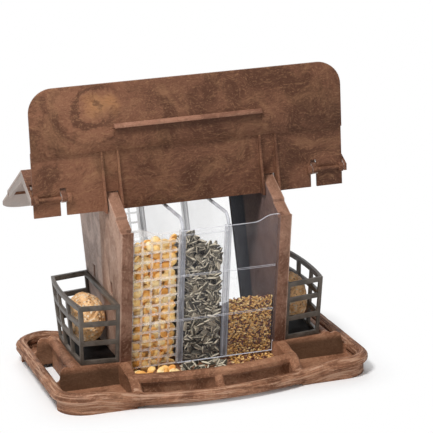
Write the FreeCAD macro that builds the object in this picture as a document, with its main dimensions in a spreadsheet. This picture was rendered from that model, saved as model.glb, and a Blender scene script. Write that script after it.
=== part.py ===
import FreeCAD
import Part
import Sketcher
import math
import os
import re

# Bird feeder: a hopper house with a hinged roof flap on a wide feeding tray.
# Millimetres, +Z up, the front faces -Y, the origin is under the middle of the tray.

doc = FreeCAD.newDocument("BirdFeeder")
sheet = doc.addObject("Spreadsheet::Sheet", "Dims")

DIMENSIONS = [
    ("house_width", 200, "over the outer faces of the two side panels"),
    ("panel_thick", 14, "side panel"),
    ("deck_height", 35, "top of the plinth that the house stands on"),
    ("post_top", 197, "top of the four corner posts"),
    ("foot_half", 61, "half depth of a side panel on the deck"),
    ("post_half", 103, "half depth of a side panel at the post tops"),
    ("gable_apex", 249, "peak of the gable slab"),
    ("gable_step", 3.5, "height of the slab over the lower gable edge"),
    ("slab_half", 77, "half depth of the gable slab"),
    ("groove_set", 3.5, "wall between the panel edge and the window groove"),
    ("groove_wide", 3, "window groove, front to back"),
    ("groove_deep", 4, "window groove, into the panel"),
    ("window_thick", 2, "clear sheet"),
    ("window_low", 22.5, "lower edge of the window"),
    ("window_high", 191, "upper edge of the window"),
    ("window_ear", 198.5, "raised corners of the window"),
    ("divider_at", 27, "middle of a divider from the centre line"),
    ("divider_thick", 2.5, "clear divider"),
    ("divider_high", 205.5, "upper edge of the divider"),
    ("ramp_top", 56, "crest of the seed ramp"),
    ("ramp_fall", 0.82, "fall of the seed ramp per mm of depth"),
    ("mesh_columns", 5, "holes across the mesh"),
    ("mesh_rows", 15, "holes up the mesh"),
    ("mesh_bar", 2.4, "bar between two mesh holes"),
    ("roof_apex", 258, "ridge line"),
    ("roof_drop", 0.503, "fall of the roof per mm of depth"),
    ("roof_thick", 3, "each roof course"),
    ("roof_half", 188, "half length of the fixed roof"),
    ("eave_rear", 146.2, "depth of the rear eave"),
    ("course_rear", 88, "depth of the step between the rear courses"),
    ("eave_round", 28, "radius of the eave corners"),
    ("flap_half", 184, "half length of the flap"),
    ("flap_tall", 147, "flap, from the hinge side to the eave"),
    ("flap_step", 72, "step between the flap's courses"),
    ("hinge_back", 42, "hinge axis in front of the centre line"),
    ("hinge_up", 21, "hinge axis from the flap's hinge side"),
    ("hinge_deep", 5.5, "hinge axis under the flap's outer face"),
    ("pin_wide", 4.8, "hinge pin diameter"),
    ("pin_play", 0.05, "radial play of the pin in the hinge eye"),
    ("arm_mid", 149.3, "middle of a hinge arm"),
    ("arm_wide", 6, "hinge arm"),
    ("basket_reach", 46, "outward reach of a basket's rim"),
    ("basket_top", 109, "top of a basket"),
    ("basket_wall", 3.6, "thickness of the basket's bars"),
    ("basket_bar", 5.6, "width of the basket's bars"),
    ("basket_gap", 0.3, "play between a basket and the house"),
    ("hook_at", 40, "middle of a basket hook"),
    ("tray_half", 188, "half length of the tray"),
    ("tray_side", 130, "half depth of the tray at its corners"),
    ("tray_bow", 147, "half depth of the tray at the middle of a perch"),
    ("tray_corner", 38, "corner radius of the tray"),
    ("perch_half", 97, "half length of a bowed perch"),
    ("rim_wide", 13, "log-like rim"),
    ("rim_top", 25, "crest of the rim round the ends"),
    ("perch_top", 17, "crest of the perches"),
    ("rise_end", 146, "end of the rim's rise from the centre line"),
    ("plinth_half", 153, "half length of the plinth"),
    ("wall", 3, "moulded wall of the tray"),
    ("lip_top", 32, "crest of the trough lip"),
    ("lip_mid", 115, "trough lip from the centre line, in the middle"),
    ("lip_end", 102, "trough lip from the centre line, at the arms"),
    ("arm_at", 95, "middle of a trough arm from the centre line"),
    ("arm_half", 6, "half width of a trough arm"),
    ("screw_wide", 3.5, "panel screw shank"),
    ("screw_at", 35, "panel screw from the centre line"),
]
for row, (alias, value, note) in enumerate(DIMENSIONS, start=1):
    sheet.set(f"A{row}", note)
    sheet.set(f"B{row}", str(value))
    sheet.setAlias(f"B{row}", alias)
doc.recompute()

ALIASES = re.compile(r"\b(" + "|".join(alias for alias, value, note in DIMENSIONS) + r")\b")


def cells(text):
    """A dimension expression with each alias pointing at its cell."""
    return ALIASES.sub(r"Dims.\1", str(text))


def number(text):
    """The present value of a dimension expression."""
    return float(sheet.evalExpression(cells(text)))


def bind(item, prop, text):
    item.setExpression(prop, cells(text))


# Lines of the house that several pieces share, as dimension expressions

LEAN = "((post_half - foot_half) / (post_top - deck_height))"
LEAN_ANGLE = f"atan({LEAN})"
ROOF_ANGLE = "atan(roof_drop)"
ROOF_COS = f"cos({ROOF_ANGLE})"
ROOF_SIN = f"sin({ROOF_ANGLE})"
ROOF_FALL = f"(roof_thick / {ROOF_COS})"
PANEL_IN = "(house_width / 2 - panel_thick)"
HINGE_Z = f"(roof_apex - roof_drop * hinge_back - hinge_deep / {ROOF_COS})"


def panel_edge(height):
    """Half depth of the side panels at a height."""
    return f"(foot_half + ({height} - deck_height) * {LEAN})"


def roof_line(depth, below="0"):
    """Height of the roof's outer plane at a depth, less a vertical distance."""
    return f"(roof_apex - roof_drop * ({depth}) - ({below}))"


def up_window(height):
    """Distance up the leaning window from deck level to a height."""
    return f"(({height} - deck_height) / cos({LEAN_ANGLE}))"


def rectangle(u, v):
    """The corners of a rectangle between two (low, high) pairs."""
    return [(u[0], v[0]), (u[1], v[0]), (u[1], v[1]), (u[0], v[1])]


def on_side(sign, low, high):
    """A span across the house on the right (1) or the left (-1)."""
    return (low, high) if sign > 0 else (f"-({high})", f"-({low})")


# Drawing and modelling helpers

def draw(sketch, outline, bows=()):
    """A closed outline with its corners pinned to expressions; bows are {side: (mid, radius)} arcs."""
    bows = dict(bows)
    corners = [FreeCAD.Vector(number(u), number(v), 0) for u, v in outline]
    first = sketch.GeometryCount
    for side, (start, end) in enumerate(zip(corners, corners[1:] + corners[:1])):
        if side in bows:
            middle = FreeCAD.Vector(number(bows[side][0][0]), number(bows[side][0][1]), 0)
            sketch.addGeometry(Part.Arc(start, middle, end))
        else:
            sketch.addGeometry(Part.LineSegment(start, end))
    starts = [1 if sketch.getPoint(first + side, 1).distanceToPoint(corner) < 1e-6 else 2
              for side, corner in enumerate(corners)]
    for side, (u, v) in enumerate(outline):
        line = first + side
        before = (side - 1) % len(outline)
        sketch.addConstraint(
            Sketcher.Constraint("Coincident", first + before, 3 - starts[before], line, starts[side]))
        for kind, text, place in (("DistanceX", u, corners[side].x), ("DistanceY", v, corners[side].y)):
            pinned = sketch.addConstraint(Sketcher.Constraint(kind, -1, 1, line, starts[side], place))
            bind(sketch, f"Constraints[{pinned}]", text)
    for side, (middle, radius) in bows.items():
        size = sketch.addConstraint(Sketcher.Constraint("Radius", first + side, number(radius)))
        bind(sketch, f"Constraints[{size}]", radius)


def draw_circle(sketch, centre, radius):
    place = FreeCAD.Vector(number(centre[0]), number(centre[1]), 0)
    ring = sketch.addGeometry(Part.Circle(place, FreeCAD.Vector(0, 0, 1), number(radius)))
    for kind, text, spot in (("DistanceX", centre[0], place.x), ("DistanceY", centre[1], place.y)):
        pinned = sketch.addConstraint(Sketcher.Constraint(kind, -1, 1, ring, 3, spot))
        bind(sketch, f"Constraints[{pinned}]", text)
    size = sketch.addConstraint(Sketcher.Constraint("Radius", ring, number(radius)))
    bind(sketch, f"Constraints[{size}]", radius)


def new_body(label, place=("0", "0", "0")):
    body = doc.addObject("PartDesign::Body", label)
    for axis, text in zip("xyz", place):
        bind(body, f"Placement.Base.{axis}", text)
    return body


def new_sketch(body, name, plane, offset):
    """A sketch on one of the body's origin planes, moved along the plane's normal."""
    sketch = body.newObject("Sketcher::SketchObject", name)
    support = next(item for item in body.Origin.OriginFeatures if item.Role == plane)
    sketch.AttachmentSupport = [(support, "")]
    sketch.MapMode = "FlatFace"
    bind(sketch, "AttachmentOffset.Base.z", offset)
    return sketch


def pad(body, name, plane, outline, span):
    """Material between two distances along the plane's normal."""
    sketch = new_sketch(body, f"{name}_sketch", plane, span[0])
    draw(sketch, outline)
    feature = body.newObject("PartDesign::Pad", name)
    feature.Profile = sketch
    bind(feature, "Length", f"({span[1]}) - ({span[0]})")
    return feature


def cut_out(body, name, plane, outlines, span, circles=(), bows=()):
    """A pocket between two distances along the plane's normal."""
    sketch = new_sketch(body, f"{name}_sketch", plane, span[0])
    for outline in outlines:
        draw(sketch, outline, bows)
    for centre, radius in circles:
        draw_circle(sketch, centre, radius)
    feature = body.newObject("PartDesign::Pocket", name)
    feature.Profile = sketch
    feature.Reversed = True
    bind(feature, "Length", f"({span[1]}) - ({span[0]})")
    return feature


def round_corners(body, name, corners, radius):
    """Round the edges that stand over given sketch corners (axis pair, then the corner places)."""
    doc.recompute()
    base = body.Tip
    first, second, places = corners
    spots = [(number(u), number(v)) for u, v in places]
    chosen = []
    for index, edge in enumerate(base.Shape.Edges, start=1):
        ends = [(getattr(v.Point, first), getattr(v.Point, second)) for v in edge.Vertexes]
        if any(all(math.dist(end, spot) < 0.05 for end in ends) for spot in spots):
            chosen.append(f"Edge{index}")
    feature = body.newObject("PartDesign::Fillet", name)
    feature.Base = (base, chosen)
    bind(feature, "Radius", radius)
    return feature


def block(name, x, y, z):
    """A box between (low, high) pairs."""
    box = doc.addObject("Part::Box", name)
    for side, axis, (low, high) in zip(("Length", "Width", "Height"), "xyz", (x, y, z)):
        bind(box, side, f"({high}) - ({low})")
        bind(box, f"Placement.Base.{axis}", low)
    return box


def drum(name, radius, centre, z):
    """An upright cylinder."""
    round_bar = doc.addObject("Part::Cylinder", name)
    bind(round_bar, "Radius", radius)
    bind(round_bar, "Height", f"({z[1]}) - ({z[0]})")
    for axis, text in zip("xyz", (centre[0], centre[1], z[0])):
        bind(round_bar, f"Placement.Base.{axis}", text)
    return round_bar


def log(name, radius, x, y, z):
    """A cylinder lying along Y between two depths."""
    bar = doc.addObject("Part::Cylinder", name)
    bar.Placement.Rotation = FreeCAD.Rotation(FreeCAD.Vector(1, 0, 0), -90)
    bind(bar, "Radius", radius)
    bind(bar, "Height", f"({y[1]}) - ({y[0]})")
    for axis, text in zip("xyz", (x, y[0], z)):
        bind(bar, f"Placement.Base.{axis}", text)
    return bar


def prism(name, plane, outline, span, bows=()):
    """A straight bar with a drawn section, along X ("YZ") or Y ("XZ")."""
    sketch = doc.addObject("Sketcher::SketchObject", f"{name}_sketch")
    turn = {"YZ": FreeCAD.Rotation(0.5, 0.5, 0.5, 0.5), "XZ": FreeCAD.Rotation(FreeCAD.Vector(1, 0, 0), 90)}
    run = {"YZ": ("x", FreeCAD.Vector(1, 0, 0)), "XZ": ("y", FreeCAD.Vector(0, 1, 0))}
    sketch.Placement.Rotation = turn[plane]
    draw(sketch, outline, bows)
    axis, direction = run[plane]
    bind(sketch, f"Placement.Base.{axis}", span[0])
    bar = doc.addObject("Part::Extrusion", name)
    bar.Base = sketch
    bar.DirMode = "Custom"
    bar.Dir = direction
    bar.Solid = True
    bind(bar, "LengthFwd", f"({span[1]}) - ({span[0]})")
    return bar


def join(name, shapes):
    item = doc.addObject("Part::MultiFuse", name)
    item.Shapes = shapes
    item.Refine = True
    return item


def overlap(name, shapes):
    item = doc.addObject("Part::MultiCommon", name)
    item.Shapes = shapes
    return item


def take(name, base, tool):
    item = doc.addObject("Part::Cut", name)
    item.Base = base
    item.Tool = tool
    return item


def rounded(name, base, radius, wanted):
    """Round the edges of a solid for which wanted(edge) is true."""
    doc.recompute()
    size = number(radius)
    item = doc.addObject("Part::Fillet", name)
    item.Base = base
    item.Edges = [(i, size, size) for i, edge in enumerate(base.Shape.Edges, start=1) if wanted(edge)]
    return item


def hewn(name, base, size, wanted):
    """Cut the edges of a solid for which wanted(edge) is true to flats, as on a hewn log."""
    doc.recompute()
    cut = number(size)
    item = doc.addObject("Part::Chamfer", name)
    item.Base = base
    item.Edges = [(i, cut, cut) for i, edge in enumerate(base.Shape.Edges, start=1) if wanted(edge)]
    return item


def mirrored(label, source, normal):
    item = doc.addObject("Part::Mirroring", label)
    item.Source = source
    item.Normal = normal
    return item


ACROSS = FreeCAD.Vector(1, 0, 0)
FORE_AFT = FreeCAD.Vector(0, 1, 0)


def upright(edge):
    low, high = edge.Vertexes[0].Point, edge.Vertexes[-1].Point
    return abs(low.x - high.x) < 1e-6 and abs(low.y - high.y) < 1e-6 and abs(low.z - high.z) > 1


def level_at(*heights):
    """A test for edges that lie level at one of these heights."""
    places = [number(height) for height in heights]
    return lambda edge: any(abs(edge.BoundBox.ZMin - place) < 1e-6 and abs(edge.BoundBox.ZMax - place) < 1e-6
                            for place in places)


def side_above(height):
    """A test for the edges that outline a bar's two side faces above a height."""
    return lambda edge: edge.BoundBox.XLength < 1e-6 and edge.BoundBox.ZMin > height


# Base tray: one moulding with a log-like rim, four corner dishes, two seed troughs and a plinth

BOW_RADIUS = "((perch_half^2 + (tray_bow - tray_side)^2) / (2 * (tray_bow - tray_side)))"
BLEND_RADIUS = 40


def tray_plan(name, inset, z):
    """A solid with the tray's bowed outline, drawn in by an inset."""
    side = f"(tray_side - {inset})"
    half = f"(tray_half - {inset})"
    core = block(f"{name}_core", (f"-{half}", half), (f"-{side}", side), z)
    corners = rounded(f"{name}_corners", core, f"tray_corner - {inset}", upright)
    bows = []
    for end, sign in (("front", "-"), ("rear", "")):
        centre = f"{sign}(tray_bow - {BOW_RADIUS})"
        bow = drum(f"{name}_{end}_drum", f"{BOW_RADIUS} - {inset}", ("0", centre), z)
        reach = on_side(-1 if sign else 1, "tray_side - rim_wide * 2", "tray_bow")
        window = block(f"{name}_{end}_window", ("-tray_side", "tray_side"), reach, z)
        bows.append(overlap(f"{name}_{end}_bow", [bow, window]))
    plan = join(f"{name}_plan", [corners] + bows)
    hollow = number(f"tray_side - {inset}")
    return rounded(name, plan, f"{BLEND_RADIUS} + {inset}",
                   lambda edge: upright(edge) and abs(abs(edge.Vertexes[0].Y) - hollow) < 1e-6
                   and abs(edge.Vertexes[0].X) < number("perch_half") + 1)


RIM_TALL = "13.5"
RIM_FLAT = "4"


def rim_ring(name, top):
    """A closed hewn log that follows the outline at one level."""
    z = (f"{top} - {RIM_TALL}", top)
    outer = tray_plan(f"{name}_outer", "0", z)
    inner = tray_plan(f"{name}_inner", "rim_wide", z)
    square = take(f"{name}_square", outer, inner)
    return hewn(name, square, RIM_FLAT, level_at(*z))


def rising_log(name, x_sign, y_sign):
    """A straight hewn log that climbs from the end of a perch to the level of the rim's ends."""
    low = f"(perch_top - {RIM_TALL})"
    inner = "(tray_side - rim_wide)"
    section = [("tray_side", f"{low} + {RIM_FLAT}"), ("tray_side", f"perch_top - {RIM_FLAT}"),
               (f"tray_side - {RIM_FLAT}", "perch_top"), (f"{inner} + {RIM_FLAT}", "perch_top"),
               (inner, f"perch_top - {RIM_FLAT}"), (inner, f"{low} + {RIM_FLAT}"),
               (f"{inner} + {RIM_FLAT}", low), (f"tray_side - {RIM_FLAT}", low)]
    bar = prism(name, "YZ", [(f"{y_sign} * ({y})", z) for y, z in section], (f"{x_sign} * arm_at", "0"))
    bar.setExpression("LengthFwd", None)
    bar.LengthFwd = 0
    bind(bar, "Dir.x", f"{x_sign} * (rise_end - arm_at)")
    bind(bar, "Dir.z", "rim_top - perch_top")
    return bar


def four_corners(name, x_from, y_from, z):
    """Boxes over the four corners of the tray."""
    boxes = []
    for end, x in (("left", ("-tray_half", f"-{x_from}")), ("right", (x_from, "tray_half"))):
        for face, y in (("front", ("-tray_bow", f"-{y_from}")), ("rear", (y_from, "tray_bow"))):
            boxes.append(block(f"{name}_{end}_{face}", x, y, z))
    return join(name, boxes)


# The rim: a low perch in front and behind, logs that climb from it, and a higher log round each end
DISH_FLOOR = "9"
perch_rim = overlap("perch_rim", [
    rim_ring("perch_log", "perch_top"),
    block("perch_zone", ("-arm_at", "arm_at"), ("-tray_bow", "tray_bow"), ("0", "60"))])
end_zones = [block(f"{end}_end_zone", on_side(sign, "rise_end", "tray_half"),
                   ("-tray_bow", "tray_bow"), ("0", "60"))
             for end, sign in (("left", -1), ("right", 1))]
end_rim = overlap("end_rim", [rim_ring("end_log", "rim_top"), join("end_zones", end_zones)])
rises = [rising_log(f"{end}_{face}_rise", x_sign, y_sign)
         for end, x_sign in (("left", -1), ("right", 1)) for face, y_sign in (("front", -1), ("rear", 1))]
foot_wall = overlap("foot_wall", [
    take("foot_ring", tray_plan("foot_outer", "5", ("0", "13")), tray_plan("foot_inner", "9", ("0", "13"))),
    four_corners("foot_zone", "(arm_at + 3)", "92", ("0", "60"))])
dish_wall = overlap("dish_wall", [
    take("dish_ring", tray_plan("dish_outer", "8", (f"{DISH_FLOOR} - wall", "12.5")),
         tray_plan("dish_inner", "rim_wide", (f"{DISH_FLOOR} - wall", "12.5"))),
    four_corners("dish_wall_zone", "(arm_at - 2)", "(foot_half - 2)", ("0", "60"))])
dish_floor = overlap("dish_floor", [
    tray_plan("dish_plan", "8", (f"{DISH_FLOOR} - wall", DISH_FLOOR)),
    four_corners("dish_zone", "(arm_at - 2)", "(foot_half - 2)", ("0", "60"))])

tray_pieces = [perch_rim, end_rim, foot_wall, dish_wall, dish_floor] + rises

# Plinth at each end: a hollow deck for a side panel and a basket, edged by a log; its front and rear walls
# run on to the rim with an S-shaped top
BRANCH_THICK = "3.5"
BRANCH_SPANS = (("front", ("-foot_half", f"-foot_half + {BRANCH_THICK}")),
                ("rear", (f"foot_half - {BRANCH_THICK}", "foot_half")))
branch = [("146", "5"), ("146", "35"), ("157", "35.8"), ("162", "37.3"), ("169.6", "30.3"), ("170.2", "25"),
          ("176", "20.5"), ("183", "18.6"), ("183", "5")]
branch_bows = {1: (("151.5", "38.45"), "6.5"), 3: (("167.2", "35.3"), "7.5"), 5: (("171.8", "21.5"), "5")}
for end, sign in (("left", -1), ("right", 1)):
    shell = take(f"{end}_plinth",
                 block(f"{end}_plinth_block", on_side(sign, PANEL_IN, "plinth_half"),
                       ("-foot_half", "foot_half"), ("0", "deck_height")),
                 block(f"{end}_plinth_hollow", on_side(sign, f"{PANEL_IN} + wall", "plinth_half - wall"),
                       ("-foot_half + wall", "foot_half - wall"), ("-1", "deck_height - wall")))
    tray_pieces.append(shell)
    tray_pieces.append(log(f"{end}_ridge_log", "6", f"{sign} * (plinth_half - 1.5)", ("-59", "59"), "32"))
    bows = {side: ((f"{sign} * {mid[0]}", mid[1]), radius) for side, (mid, radius) in branch_bows.items()}
    for face, y in BRANCH_SPANS:
        outline = [(f"{sign} * {x}", z) for x, z in branch]
        tray_pieces.append(prism(f"{end}_{face}_branch", "XZ", outline, y, bows))

# Seed ramp and trough floors: one folded sheet between the plinth ends
FLOOR_REACH = "108"
RAMP_FOOT = f"((ramp_top - {DISH_FLOOR}) / ramp_fall)"
RAMP_FOOT_IN = f"((ramp_top - wall * 2 - {DISH_FLOOR} + wall) / ramp_fall)"
ramp_sheet = prism("ramp_sheet", "YZ", [
    (f"-{FLOOR_REACH}", DISH_FLOOR), (f"-{RAMP_FOOT}", DISH_FLOOR), ("0", "ramp_top"),
    (RAMP_FOOT, DISH_FLOOR), (FLOOR_REACH, DISH_FLOOR), (FLOOR_REACH, f"{DISH_FLOOR} - wall"),
    (RAMP_FOOT_IN, f"{DISH_FLOOR} - wall"), ("0", "ramp_top - wall * 2"),
    (f"-{RAMP_FOOT_IN}", f"{DISH_FLOOR} - wall"), (f"-{FLOOR_REACH}", f"{DISH_FLOOR} - wall")],
    (f"-{PANEL_IN} - 2", f"{PANEL_IN} + 2"))
panel_feet = [block(f"{end}_panel_foot", on_side(sign, f"{PANEL_IN} - 0.3", f"{PANEL_IN} + 3"),
                    ("-foot_half", "foot_half"), ("deck_height", "ramp_top + 1"))
              for end, sign in (("left", -1), ("right", 1))]
tray_pieces.append(take("seed_ramp", ramp_sheet, join("panel_feet", panel_feet)))
for face, sign in (("front", -1), ("rear", 1)):
    reach = on_side(sign, "foot_half - 1", FLOOR_REACH)
    tray_pieces.append(block(f"{face}_trough_floor", ("-arm_at", "arm_at"), reach,
                             (f"{DISH_FLOOR} - wall", DISH_FLOOR)))

# Trough lip at the front and the rear: a bowed wall with a log on top
LIP_RADIUS = "((88^2 + (lip_mid - lip_end)^2) / (2 * (lip_mid - lip_end)))"


def lip_band(name, sign, half_wide, z):
    centre = f"{sign} * (lip_mid - {LIP_RADIUS})"
    band = take(f"{name}_band",
                drum(f"{name}_outer", f"{LIP_RADIUS} + {half_wide}", ("0", centre), z),
                drum(f"{name}_inner", f"{LIP_RADIUS} - {half_wide}", ("0", centre), z))
    depth = ("60", "tray_bow") if sign > 0 else ("-tray_bow", "-60")
    return band, block(f"{name}_zone", ("-arm_at", "arm_at"), depth, z)


for face, sign in (("front", -1), ("rear", 1)):
    band, zone = lip_band(f"{face}_lip_log", sign, "6", ("20", "lip_top"))
    flats = hewn(f"{face}_lip_flats", band, "3.6", level_at("20", "lip_top"))
    wall_band, wall_zone = lip_band(f"{face}_lip_wall", sign, "2", ("5.5", "26"))
    tray_pieces.append(overlap(f"{face}_lip", [flats, zone]))
    tray_pieces.append(overlap(f"{face}_lip_skirt", [wall_band, wall_zone]))
    rib_run = [("112", "10"), ("112", "29"), ("119", "27"), ("130", "17.5"), ("140", "15.5"), ("140", "5.5")]
    arm_run = [("58", "2"), ("58", "34.4"), ("70", "34.4"), ("84", "31.4"), ("100", "31.4"), ("110", "27"),
               ("119", "18.8"), ("126", "18.2"), ("126", "2"), ("120", "2")]
    for name, run, x in (("middle_rib", rib_run, ("-5", "5")),
                         ("left_arm", arm_run, ("-arm_at - arm_half", "-arm_at + arm_half")),
                         ("right_arm", arm_run, ("arm_at - arm_half", "arm_at + arm_half"))):
        bar = prism(f"{face}_{name}_bar", "YZ", [(f"{sign} * {depth}", height) for depth, height in run], x)
        tray_pieces.append(hewn(f"{face}_{name}", bar, "2.2", side_above(15)))

tray_solid = join("tray_solid", tray_pieces)
screw_ways = []
for end, x in (("left", f"-({PANEL_IN} + panel_thick / 2)"), ("right", f"{PANEL_IN} + panel_thick / 2")):
    for face, y in (("front", "-screw_at"), ("rear", "screw_at")):
        screw_ways.append(drum(f"{end}_{face}_screw_way", "screw_wide / 2 + 0.3", (x, y), ("20", "50")))
base_tray = take("base_tray", tray_solid, join("screw_ways", screw_ways))

# Side panels: a leaning wall with corner posts, a gable slab and grooves for the windows

right_panel = new_body("right_side_panel", (PANEL_IN, "0", "0"))
LOW_GABLE = "(gable_apex - gable_step - roof_drop * slab_half)"
SHELF = "((gable_apex - gable_step - post_top) / roof_drop)"
half_outline = [("foot_half", "deck_height"), ("post_half", "post_top"), (SHELF, "post_top"),
                ("slab_half", LOW_GABLE), ("slab_half", f"{LOW_GABLE} + gable_step")]
panel_outline = half_outline + [("0", "gable_apex")]
panel_outline += [(f"-{y}", z) for y, z in reversed(half_outline)]
pad(right_panel, "panel_wall", "YZ_Plane", panel_outline, ("0", "panel_thick"))
GROOVE_TOP = "(post_top + 10)"
for face, sign in (("front", "-"), ("rear", "")):
    groove = [(f"{sign}({panel_edge(z)} - groove_set - {wide})", z)
              for z, wide in (("(deck_height - 2)", "0"), ("(deck_height - 2)", "groove_wide"),
                              (GROOVE_TOP, "groove_wide"), (GROOVE_TOP, "0"))]
    cut_out(right_panel, f"{face}_groove", "YZ_Plane", [groove], ("-1", "groove_deep"))
    mouth = rectangle((f"{sign}(post_half - groove_set + 0.5)", f"{sign}(post_half - groove_set - 7)"),
                      ("post_top - 4", GROOVE_TOP))
    cut_out(right_panel, f"{face}_mouth", "YZ_Plane", [mouth], ("-1", "groove_deep + 2"))

# Keyholes for the basket hooks: a narrow neck below, a wide entry above, a cavity behind both
HOOK_LOW = "(basket_top - 5.5)"
HOOK_TALL = "5"
NECK_HALF = "2"
HEAD_HALF = "4.5"
PLAY = "0.4"
for face, sign in (("front", "-"), ("rear", "")):
    middle = f"{sign}hook_at"

    def keyhole(half, low, high, middle=middle):
        return rectangle((f"{middle} - {half} - {PLAY}", f"{middle} + {half} + {PLAY}"), (low, high))
    low = f"{HOOK_LOW} - basket_gap"
    neck_top = f"{HOOK_LOW} + {HOOK_TALL} + 3"
    entry_top = f"{HOOK_LOW} + 22"
    cut_out(right_panel, f"{face}_cavity", "YZ_Plane", [keyhole(HEAD_HALF, low, entry_top)],
            ("panel_thick - 5.2", "panel_thick - 2.5"))
    cut_out(right_panel, f"{face}_neck", "YZ_Plane", [keyhole(NECK_HALF, low, neck_top)],
            ("panel_thick - 3", "panel_thick + 1"))
    cut_out(right_panel, f"{face}_entry", "YZ_Plane", [keyhole(HEAD_HALF, neck_top, entry_top)],
            ("panel_thick - 3", "panel_thick + 1"))
cut_out(right_panel, "foot_pilots", "XY_Plane", [], ("deck_height - 1", "deck_height + 20"),
        [(("panel_thick / 2", y), "screw_wide / 2") for y in ("-screw_at", "screw_at")])
cut_out(right_panel, "plank_joint", "XY_Plane",
        [[("panel_thick + 0.5", "-1.7"), ("panel_thick + 0.5", "1.7"), ("panel_thick - 1.2", "0")]],
        ("deck_height - 1", "gable_apex - 8"))
ROOF_SCREW_Y = f"(40 - 12 * {ROOF_SIN})"
ROOF_SCREW_Z = f"(roof_apex - roof_drop * 40 - 12 * {ROOF_COS})"
ROOF_SCREW_R = "1.5"
cut_out(right_panel, "roof_pilot", "YZ_Plane", [], ("-1", "9"),
        [((ROOF_SCREW_Y, ROOF_SCREW_Z), ROOF_SCREW_R)])
left_panel = mirrored("left_side_panel", right_panel, ACROSS)

# Windows: clear leaning sheets with raised ears, ribs, divider channels and a mesh over one compartment

WINDOW_SET = "(groove_set + 0.45)"
front_window = new_body("front_window", ("0", f"-(foot_half - {WINDOW_SET})", "deck_height"))
front_window.Placement.Rotation = FreeCAD.Rotation(FreeCAD.Vector(1, 0, 0), number(LEAN_ANGLE))
SHEET_LOW = up_window("window_low")
SHEET_HIGH = up_window("window_high")
SHEET_EAR = up_window("window_ear")
WINDOW_HALF = f"({PANEL_IN} + groove_deep - 1.5)"
TONGUE_HALF = f"({PANEL_IN} - 0.6)"
half_sheet = [(TONGUE_HALF, SHEET_LOW), (TONGUE_HALF, "0.1"), (WINDOW_HALF, "0.1"), (WINDOW_HALF, SHEET_EAR),
              ("74", SHEET_EAR), ("61", SHEET_HIGH)]
sheet_outline = half_sheet + [(f"-{u}", v) for u, v in reversed(half_sheet)]
pad(front_window, "sheet", "XZ_Plane", sheet_outline, ("-window_thick", "0"))
round_corners(front_window, "ear_waves", ("x", "z", [("74", SHEET_EAR), ("61", SHEET_HIGH),
                                                     ("-74", SHEET_EAR), ("-61", SHEET_HIGH)]), "20")
ear_tips = [(WINDOW_HALF, SHEET_EAR), (f"-{WINDOW_HALF}", SHEET_EAR)]
round_corners(front_window, "ear_tips", ("x", "z", ear_tips), "4")
for place, share in (("lower", "1 / 3"), ("upper", "2 / 3")):
    rib = f"({SHEET_LOW} + ({SHEET_HIGH} - {SHEET_LOW}) * {share})"
    pad(front_window, f"{place}_rib", "XZ_Plane", rectangle(("-84", "84"), (f"{rib} - 0.9", f"{rib} + 0.9")),
        ("-0.5", "1.1"))
CHANNEL_GAP = "(divider_thick / 2 + 0.4)"
for place, middle in (("left", "-divider_at"), ("right", "divider_at")):
    for hand, near, far in (("inner", f"{middle} + {CHANNEL_GAP}", f"{middle} + {CHANNEL_GAP} + 2"),
                            ("outer", f"{middle} - {CHANNEL_GAP} - 2", f"{middle} - {CHANNEL_GAP}")):
        pad(front_window, f"{place}_{hand}_channel", "XZ_Plane",
            rectangle((near, far), (f"{SHEET_LOW} + 1", f"{SHEET_HIGH} - 1")),
            ("-window_thick - 4", "-window_thick + 0.5"))
pad(front_window, "top_bead", "XZ_Plane",
    rectangle(("-divider_at", "divider_at"), (f"{SHEET_HIGH} - 6", f"{SHEET_HIGH} - 4.6")), ("-0.5", "0.8"))
MESH_EDGE = f"(-{TONGUE_HALF} + 0.5)"
MESH_WIDE = f"(-divider_at - {CHANNEL_GAP} - 2 - {MESH_EDGE})"
COLUMN = f"({MESH_WIDE} / mesh_columns)"
ROW = f"(({SHEET_HIGH} - {SHEET_LOW}) / mesh_rows)"
hole_x = (f"{MESH_EDGE} + mesh_bar / 2", f"{MESH_EDGE} + {COLUMN} - mesh_bar / 2")
hole_z = (f"{SHEET_LOW} + mesh_bar / 2", f"{SHEET_LOW} + {ROW} - mesh_bar / 2")
mesh_hole = cut_out(front_window, "mesh_hole", "XZ_Plane", [rectangle(hole_x, hole_z)],
                    ("-window_thick - 1", "0.2"))
doc.recompute()
mesh = front_window.newObject("PartDesign::LinearPattern", "mesh")
mesh.Originals = [mesh_hole]
mesh.Direction = (mesh_hole.Profile[0], ["H_Axis"])
mesh.Direction2 = (mesh_hole.Profile[0], ["V_Axis"])
bind(mesh, "Length", f"{MESH_WIDE} - {COLUMN}")
bind(mesh, "Occurrences", "mesh_columns")
bind(mesh, "Length2", f"({SHEET_HIGH} - {SHEET_LOW}) - {ROW}")
bind(mesh, "Occurrences2", "mesh_rows")
front_window.Tip = mesh
rear_window = mirrored("rear_window", front_window, FORE_AFT)

# Dividers: clear plates standing on the seed ramp, their leaning edges in the windows' channels

right_divider = new_body("right_divider", ("divider_at - divider_thick / 2", "0", "0"))


def divider_edge(height):
    return f"({panel_edge(height)} - {WINDOW_SET} - window_thick / cos({LEAN_ANGLE}) - 0.5)"


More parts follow.
